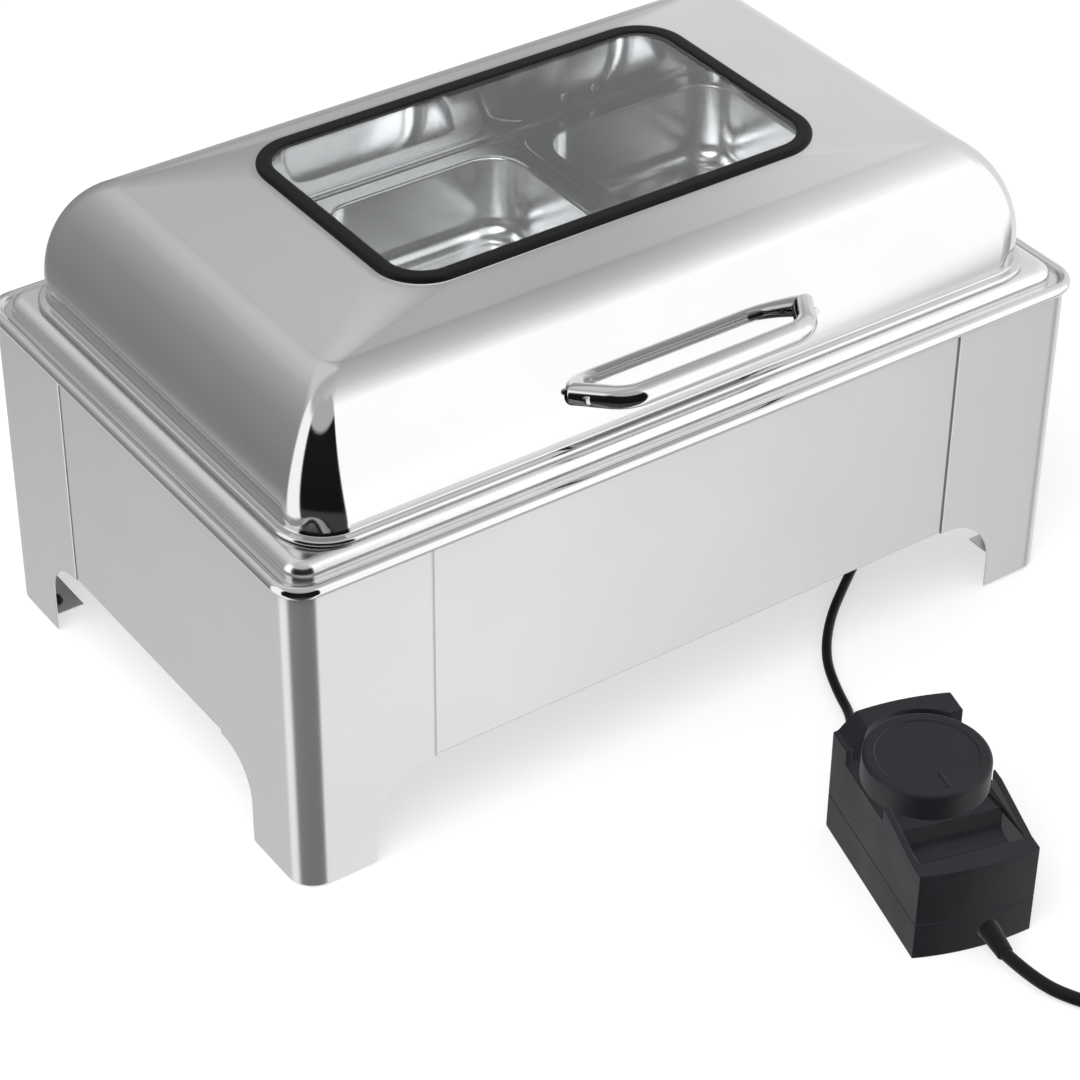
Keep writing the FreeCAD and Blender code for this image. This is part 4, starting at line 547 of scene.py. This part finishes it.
# %% The bends of the water pan
PAN_SHEET = 1.0
BASIN_X, BASIN_Y, BASIN_FLOOR, BASIN_BEND, FLOOR_CORNER = 253.5, 147.6, 150.0, 10.0, 20.0
FLANGE_X, FLANGE_Y, FLANGE_CORNER = 282.0, 173.0, 13.5
HEM_REACH, HEM_MIDDLE = 8.0, 224.0


def pan_ring(half_x, half_y, radius, z):
    """A level of a pan."""
    return level_ring(half_x, half_y, radius, z, corner=10, run=6)


def floor_rings(reach, start, end):
    """The bend between the wall and the floor, with so wide a radius."""
    return [pan_ring(BASIN_X - BASIN_BEND + out, BASIN_Y - BASIN_BEND + out, FLOOR_CORNER + out,
                     BASIN_FLOOR + BASIN_BEND + high) for out, high in arc_levels(reach, start, end, 6)]


def hem_rings(reach, start, end, steps):
    """The roll at the flange's outer edge, with so wide a radius."""
    insets = [(HEM_REACH - out, high) for out, high in arc_levels(reach, start, end, steps)]
    return [pan_ring(FLANGE_X - inset, FLANGE_Y - inset, FLANGE_CORNER - inset, HEM_MIDDLE + high)
            for inset, high in insets]


print("water pan from", BASIN_FLOOR - PAN_SHEET, "to", HEM_MIDDLE + HEM_REACH, "mm")

# %% [markdown]
# ### The water pan's sheet
# The rings run from the floor up the inside, over the flange to the end of its hem, and then back
# under the flange and down the outside.

# %% Water pan
inside_levels = [  # half length, half width, corner radius and height, from the wall to the flange
    (253.5, 147.6, 30, 200), (253.5, 147.6, 30, 226.8), (253.8, 147.9, 30.2, 227.8),
    (254.8, 148.9, 30.4, 228.2), (263.6, 157.7, 25, 228.2), (264.3, 158.4, 24.2, 228.5),
    (264.5, 158.6, 24, 229.2), (264.5, 158.6, 24, 231.1), (264.8, 158.9, 23.9, 231.7),
    (265.6, 159.7, 23.5, 232),
]
hem_end_levels = [(282, 173, 13.5, 222.1), (281, 172, 12.5, 222.1)]
outside_levels = [(265.5, 159.6, 25, 231), (265.5, 159.6, 25, 227.2), (254.5, 148.6, 31, 227.2)]

basin_rings = floor_rings(BASIN_BEND, -90, 0)
basin_rings += [pan_ring(*values) for values in inside_levels]
basin_rings += hem_rings(HEM_REACH, 90, 0, 9)
basin_rings += [pan_ring(*values) for values in hem_end_levels]
basin_rings += hem_rings(HEM_REACH - PAN_SHEET, 0, 90, 6)
basin_rings += [pan_ring(*values) for values in outside_levels]
basin_rings += floor_rings(BASIN_BEND + PAN_SHEET, 0, -90)
water_basin = settle(loft("water_basin", basin_rings), "water_pan")
print("water pan:", len(basin_rings), "levels,", len(water_basin.data.polygons), "faces")

# %% [markdown]
# ## The food pans
# Three equal pans hang side by side by their flat rims, which end in a small rolled edge. One recipe
# serves for all, shifted along the warmer. The inside and the outside of the floor's bend share a
# middle, so that the sheet stays equally thick round it.

# %% Food pans
PAN_PITCH, PAN_HALF, PAN_LONGER, PAN_CORNER = 175.6, 74.3, 69.7, 26.0
BEND_HALF, BEND_HEIGHT, BEND_INSIDE, BEND_OUTSIDE = 60.3, 184.5, 13.2, 14.0
rim_levels = [  # half width, corner radius and height, over the rim and back under it
    (73.5, 25.2, 227.6), (73.8, 25.4, 228.9), (74.6, 25.6, 229.7), (75.8, 25.7, 230), (86.4, 25.5, 230),
    (87.05, 25.8, 229.8), (87.3, 26, 229.25), (87.05, 25.8, 228.7), (86.4, 25.5, 228.5), (74.9, 26, 228.5),
    (74.3, 26, 227.9),
]


def food_ring(half, radius, z):
    """A level of a food pan, which is longer than wide by a fixed amount."""
    return pan_ring(half, half + PAN_LONGER, radius, z)


def bend_rings(reach, start, end):
    """The bend between a food pan's wall and its floor."""
    bend = [(BEND_HALF + out, BEND_HEIGHT + high) for out, high in arc_levels(reach, start, end, 6)]
    return [food_ring(half, half - PAN_HALF + PAN_CORNER, z) for half, z in bend]


pan_rings = bend_rings(BEND_INSIDE, -90, 0) + [food_ring(*values) for values in rim_levels]
pan_rings += bend_rings(BEND_OUTSIDE, 0, -90)
for number, place_x in enumerate((-PAN_PITCH, 0.0, PAN_PITCH), start=1):
    settle(loft(f"food_pan_sheet_{number}", pan_rings, shift_x=place_x), f"food_pan_{number}")
print("food pans:", len(pan_rings), "levels each")

# %% [markdown]
# ## The handle
# The lid's handle is a polished bar bent into a shallow bow, whose feet meet the curve of the lid.
# Its middle line is worked out flat, as two straight legs with rounded knees and a grip between them,
# and then tilted by ten degrees to stand square to the shoulder.

# %% The bow's line
HANDLE_TILT = math.radians(10)
FOOT_POINT = Vector((0, -160.345, 268))
OUTWARD = Vector((0, -math.cos(HANDLE_TILT), math.sin(HANDLE_TILT)))
UPWARD = Vector((1, 0, 0)).cross(OUTWARD)
KNEE_STEPS = 10


def bow_points(foot_x, knee_x, standoff, bend, root):
    """The middle line of the bow from one foot to the other. root is how deep a foot goes in."""
    foot = Vector((foot_x + root * (foot_x - knee_x) / standoff, -root))
    knee = Vector((knee_x, standoff))
    run_in = (knee - foot).normalized()
    turn_by = run_in.angle(Vector((-1, 0)))
    start = knee - run_in * bend * math.tan(turn_by / 2)
    normal = Vector((-run_in.y, run_in.x))
    centre = start + normal * bend
    half = [foot.lerp(start, n / KNEE_STEPS) for n in range(KNEE_STEPS)]
    for n in range(KNEE_STEPS + 1):
        a = turn_by * n / KNEE_STEPS
        half.append(centre - normal * bend * math.cos(a) + run_in * bend * math.sin(a))
    return half + [Vector((-p.x, p.y)) for p in reversed(half)]


bow = bow_points(foot_x=83, knee_x=65, standoff=27, bend=20, root=4)
print("handle:", len(bow), "sections")

# %% [markdown]
# ### The bar
# A circle is carried along the bow, square to it at every step.

# %% The bar
BAR_RADIUS, BAR_SIDES = 7.0, 32


def swept_bar(name, line):
    """A round bar along a flat line."""
    mesh = bmesh.new()
    rows = []
    for n, point in enumerate(line):
        ahead = (line[min(n + 1, len(line) - 1)] - line[max(n - 1, 0)]).normalized()
        middle = FOOT_POINT + Vector((point.x, 0, 0)) + OUTWARD * point.y
        across = Vector((ahead.y, 0, 0)) - OUTWARD * ahead.x
        turns = [math.tau * k / BAR_SIDES for k in range(BAR_SIDES)]
        circle = [middle + (across * math.cos(t) + UPWARD * math.sin(t)) * BAR_RADIUS for t in turns]
        rows.append([mesh.verts.new(p * MM) for p in circle])
    for low, high in zip(rows, rows[1:]):
        for k in range(BAR_SIDES):
            m = (k + 1) % BAR_SIDES
            mesh.faces.new((low[k], low[m], high[m], high[k]))
    mesh.faces.new(rows[0])
    mesh.faces.new(rows[-1])
    return finished(name, mesh)


lid_pull = settle(swept_bar("lid_pull", bow), "lid_handle")
print("bar:", len(lid_pull.data.polygons), "faces")

# %% [markdown]
# ## Edges of folded and machined parts
# The legs, panels, hinges, fasteners, controller and plug keep the shapes of their solids, but no real
# edge is perfectly sharp. Each is copied from its solid, cleaned to large faces, and given a narrow
# rounded bevel that catches the light. The width suits the part: a tenth of a millimetre on sheet,
# and more on moulded plastic.

# %% A helper for soft edges
SAME_POINT = 0.000002
FLAT_ANGLE, EDGE_ANGLE = math.radians(0.6), math.radians(32)
WIDE_EDGE = 0.4


def softened(node, width):
    """A copy of a solid with narrow rounded edges."""
    name = node + "_edged"
    mesh = bmesh.new()
    mesh.from_mesh(frame["nodes"][node].data)
    bmesh.ops.remove_doubles(mesh, verts=mesh.verts, dist=SAME_POINT)
    bmesh.ops.dissolve_limit(mesh, angle_limit=FLAT_ANGLE, verts=mesh.verts, edges=mesh.edges)
    data = bpy.data.meshes.new(name)
    mesh.to_mesh(data)
    mesh.free()
    for attribute in ("custom_normal", "sharp_edge"):
        if attribute in data.attributes:
            data.attributes.remove(data.attributes[attribute])
    data.shade_smooth()
    piece = bpy.data.objects.new(name, data)
    rounding = piece.modifiers.new("soft_edges", "BEVEL")
    rounding.width = width * MM
    rounding.segments = 3 if width > WIDE_EDGE else 2
    rounding.limit_method = "ANGLE"
    rounding.angle_limit = EDGE_ANGLE
    rounding.use_clamp_overlap = False
    rounding.miter_outer = "MITER_ARC"
    even_normals(piece)
    return settle(piece, node)


print("soft edges over", round(math.degrees(EDGE_ANGLE)), "degrees")

# %% [markdown]
# ### Which parts get how much
# The list goes by the width of the rounding in millimetres.

# %% Soften the parts
EDGES = {
    0.1: ["leg_front_left", "leg_front_right", "leg_back_left", "leg_back_right", "front_panel", "back_panel",
          "left_panel", "right_panel"],
    0.2: ["arm_rivets", "cord_tie", "plug_blades"],
    0.3: ["hinge_arm_left", "hinge_arm_right", "hinge_bracket_left", "hinge_bracket_right",
          "hinge_pin_left", "hinge_pin_right", "bracket_screws", "handle_screws", "rubber_feet",
          "heater_cover", "heater_gland"],
    0.7: ["controller_base", "controller_cover", "heater_cord_boot", "mains_cord_boot"],
    0.5: ["controller_dial"],
    1.2: ["plug_body"],
}
for width, nodes in EDGES.items():
    for node in nodes:
        softened(node, width)
print("softened:", sum(len(nodes) for nodes in EDGES.values()), "parts")

# %% [markdown]
# ### Hems on the legs
# Each leg's sheet is rolled back at its two long edges, where it overlaps the panels. The roll is what
# draws the fine upright line beside every leg: an upright strip with a quarter oval for its section.
# A seam is a point on the floor plan, the way along the wall and the way inwards.

# %% Leg hems
HEM_WIDTH, HEM_DEPTH, HEM_STEPS = 2.4, 0.95, 8
HEM_BOTTOM, HEM_TOP = 63.2, 216.8
seams = [((sx * 197, sy * 181), (-sx, 0), (0, -sy)) for sx in (-1, 1) for sy in (-1, 1)]
seams += [((sx * 290, sy * 92), (0, -sy), (-sx, 0)) for sx in (-1, 1) for sy in (-1, 1)]
mesh = bmesh.new()
for seam in seams:
    start, along, inward = (Vector((*pair, 0)) for pair in seam)
    turns = [math.radians(90 * n / HEM_STEPS) for n in range(HEM_STEPS + 1)]
    plan = [start + along * HEM_WIDTH * math.sin(t) + inward * HEM_DEPTH * (1 - math.cos(t)) for t in turns]
    plan.append(start + inward * HEM_DEPTH)
    low, high = ([mesh.verts.new((point + Vector((0, 0, z))) * MM) for point in plan]
                 for z in (HEM_BOTTOM, HEM_TOP))
    for n in range(len(plan)):
        m = (n + 1) % len(plan)
        mesh.faces.new((low[n], low[m], high[m], high[n]))
    mesh.faces.new(low)
    mesh.faces.new(high)
leg_hems = finished("leg_hems", mesh, sharp=40)
bpy.context.collection.objects.link(leg_hems)
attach(leg_hems, BODY_OF["leg_front_left"])
leg_hems.data.materials.append(finishes["stand_steel"])
print("leg hems:", len(seams))

# %% [markdown]
# ## Everything that stays a solid
# The heater under the basin and the parts inside the controller are out of sight, and their solids
# serve as they are, as the pane does. They still get the finish of their slot, because the lid lifts
# and people take a model apart.

# %% Finish the remaining solids
for node, slot in SLOT_OF.items():
    frame["nodes"][node].visible_glossy = node not in LYING
    data = frame["nodes"][node].data
    data.materials.clear()
    data.materials.append(finishes[slot])
print("finished solids:", len(SLOT_OF))

# %% [markdown]
# ## The floor
# The floor is plain and pale. It adds a little of its own white for the camera, so that it reads as
# white and still keeps a soft shadow. Steel doesn't mirror it, because the room below has its own
# levels of light under the horizon.

# %% Floor
FLOOR_REACH, FLOOR_GREY, FLOOR_GLOW = 6, 0.52, 0.56
floor_corners = [(sx * FLOOR_REACH, sy * FLOOR_REACH, 0) for sx, sy in ((-1, -1), (1, -1), (1, 1), (-1, 1))]
floor_data = bpy.data.meshes.new("floor")
floor_data.from_pydata(floor_corners, [], [(0, 1, 2, 3)])
floor = bpy.data.objects.new("floor", floor_data)
bpy.context.collection.objects.link(floor)
floor.visible_glossy = False
floor_finish = bpy.data.materials.new("floor_white")
floor_finish.use_nodes = True
tree = floor_finish.node_tree
shader = tree.nodes["Principled BSDF"]
shader.inputs["Base Color"].default_value = (FLOOR_GREY, FLOOR_GREY, FLOOR_GREY, 1.0)
shader.inputs["Roughness"].default_value = 1.0
shader.inputs["Specular IOR Level"].default_value = 0.0
glow = add(tree, "Emission", {"Color": (1, 1, 1, 1), "Strength": FLOOR_GLOW})
seen = add(tree, "LightPath").outputs["Is Camera Ray"]
black = add(tree, "Emission", {"Strength": 0.0})
extra = add(tree, "MixShader", {0: seen, 1: black.outputs[0], 2: glow.outputs[0]})
both = add(tree, "AddShader", {0: shader.outputs[0], 1: extra.outputs[0]})
tree.links.new(both.outputs[0], tree.nodes["Material Output"].inputs["Surface"])
floor_data.materials.append(floor_finish)
print("floor:", floor.name)

# %% [markdown]
# ## The room that reflections see
# Polished steel shows whatever stands round it, so the room matters more than any lamp. The room is a
# pattern of light levels that depends only on a ray's direction. Small helpers for Math and Map Range
# nodes keep it readable. Directions are given as a bearing, 0 in front of the warmer, 90 at its left
# end and 180 behind it, and a height over the horizon, both in degrees.

# %% Helpers for light levels
world = bpy.data.worlds.new("studio")
bpy.context.scene.world = world
world.use_nodes = True
tree = world.node_tree
tree.nodes.clear()
toward = add(tree, "SeparateXYZ", {0: add(tree, "TexCoord").outputs["Generated"]}).outputs


def calc(operation, a, b=0.0):
    """One Math node."""
    return add(tree, "Math", {0: a, 1: b}, operation=operation).outputs[0]


def ramp(value, low, high, at_low=0.0, at_high=1.0):
    """A smooth step of a value from one level to another."""
    return add(tree, "MapRange", {"Value": value, "From Min": low, "From Max": high, "To Min": at_low,
                                  "To Max": at_high}, interpolation_type="SMOOTHSTEP").outputs[0]


def blend(share, low, high):
    """Mix two levels by a share."""
    return calc("ADD", calc("MULTIPLY", calc("SUBTRACT", 1.0, share), low), calc("MULTIPLY", share, high))


def levels(value, stops):
    """Straight steps of a level between pairs of value and level."""
    result = stops[0][1]
    for (low, before), (high, after) in zip(stops, stops[1:]):
        added = add(tree, "MapRange", {"Value": value, "From Min": low, "From Max": high, "To Min": 0.0,
                                       "To Max": after - before}).outputs[0]
        result = calc("ADD", result, added)
    return result


DEGREES = 180 / math.pi
facing = calc("ARCTAN2", calc("MULTIPLY", toward["X"], -1.0), calc("MULTIPLY", toward["Y"], -1.0))
bearing = calc("MULTIPLY", facing, DEGREES)
height = calc("MULTIPLY", calc("ARCSINE", toward["Z"]), DEGREES)
print("bearing and height:", len(tree.nodes), "nodes")

# %% [markdown]
# ### White in front, grey above and behind
# The room begins white in front. Low down it fades towards the right end, which shades the long front
# wall from end to end. Overhead it falls from white to grey towards the back, which gives the crown
# its even grey. Behind the left end it is darkest near the horizon, and paler far down and high up.

# %% The broad areas
FRONT_WHITE = 1.16
low_front = levels(bearing, [(-110, 0.22), (-60, 0.42), (-48, 0.58), (-43, 0.70), (-40, 0.96), (-37, 1.16),
                             (-26, 1.22)])
front = blend(ramp(height, -22.0, -8.0), low_front, FRONT_WHITE)
overhead = levels(toward["Y"], [(-0.62, 1.16), (-0.48, 0.84), (-0.30, 0.62), (-0.05, 0.50), (0.10, 0.47),
                                (0.60, 0.38)])
overhead = calc("ADD", overhead, ramp(toward["X"], 0.50, 0.60, 0.0, 0.32))
above = calc("MULTIPLY", ramp(toward["Y"], -0.62, -0.60), ramp(height, 25.0, 35.0))
room = blend(calc("MAXIMUM", above, ramp(toward["Y"], -0.25, -0.15)), front, overhead)
end = levels(height, [(-45, 0.62), (-37, 0.56), (-25, 0.24), (-17, 0.22), (6, 0.28), (27, 0.41), (44, 0.60),
                      (47, 0.64)])
room = blend(ramp(toward["X"], 0.42, 0.30), room, blend(ramp(toward["Y"], 0.20, 0.40), room, end))
print("broad areas:", len(tree.nodes), "nodes")

# %% [markdown]
# ### The narrow lights and the dark flag
# A small soft spot lights the crease of the lid, and a pale panel stands at the left end. A dark flag
# stands from the front round to the left end. It is nearly black up to about 40 degrees high, where
# it draws the black streak down the lid's near corner, and grey above that.

# %% The narrow areas
CREASE_LIGHT, END_LIGHT, FLAG_GREY = 0.75, 1.05, 0.45
spot_way = {"X": 0.461, "Y": 0.653, "Z": 0.600}
along_x, along_y, along_z = (calc("MULTIPLY", toward[axis], share) for axis, share in spot_way.items())
spot = ramp(calc("ADD", calc("ADD", along_x, along_y), along_z), 0.996, 0.999)
room = blend(spot, room, CREASE_LIGHT)
left_end = calc("MULTIPLY", ramp(bearing, 84.0, 90.0), ramp(bearing, 120.0, 128.0, 1.0, 0.0))
left_end = calc("MULTIPLY", left_end, ramp(height, 40.0, 55.0, 1.0, 0.0))
room = blend(left_end, room, END_LIGHT)
flag = calc("MULTIPLY", ramp(bearing, -24.0, -19.0), ramp(bearing, 84.0, 90.0, 1.0, 0.0))
upper_flag = calc("MULTIPLY", flag, ramp(height, 70.0, 80.0, 1.0, 0.0))
room = blend(upper_flag, room, FLAG_GREY)
dark = ramp(height, -33.0, -28.0, 0.05, 0.008)
room = blend(calc("MULTIPLY", flag, ramp(height, 38.0, 44.0, 1.0, 0.0)), room, dark)
print("narrow areas:", len(tree.nodes), "nodes")

# %% [markdown]
# ### Who sees what
# Glossy rays see the pattern, rays that go through the pane see a plain bright room, and the camera
# sees white. All other light is plain and even, so every colour renders about as it is written.

# %% Strength for each kind of ray
GLOSSY_GAIN, PLAIN_LIGHT, THROUGH_LIGHT, CAMERA_WHITE = 1.39, 0.80, 1.30, 1.0
ray = add(tree, "LightPath").outputs
strength = blend(ray["Is Glossy Ray"], PLAIN_LIGHT, calc("MULTIPLY", room, GLOSSY_GAIN))
strength = blend(ray["Is Transmission Ray"], strength, THROUGH_LIGHT)
strength = blend(ray["Is Camera Ray"], strength, CAMERA_WHITE)
background = add(tree, "Background", {"Color": (1, 1, 1, 1), "Strength": strength})
add(tree, "OutputWorld", {"Surface": background.outputs[0]})
print("studio:", len(tree.nodes), "nodes")

# %% [markdown]
# ## A soft lamp
# One wide lamp from the upper left gives the matt parts some shape and the floor its soft shadow. It
# stays out of the reflections, where a disk would show.

# %% A soft lamp
LAMP_SIZE, LAMP_WATTS, LAMP_PLACE = 2.4, 42.0, (-1.5, -0.7, 2.3)
lamp_data = bpy.data.lights.new("soft_lamp", "AREA")
lamp_data.shape = "DISK"
lamp_data.size = LAMP_SIZE
lamp_data.energy = LAMP_WATTS
lamp = bpy.data.objects.new("soft_lamp", lamp_data)
bpy.context.collection.objects.link(lamp)
lamp.location = LAMP_PLACE
lamp.rotation_euler = (-lamp.location).to_track_quat("-Z", "Y").to_euler()
lamp.visible_glossy = False
print("lamp at", [round(v, 2) for v in lamp.location])
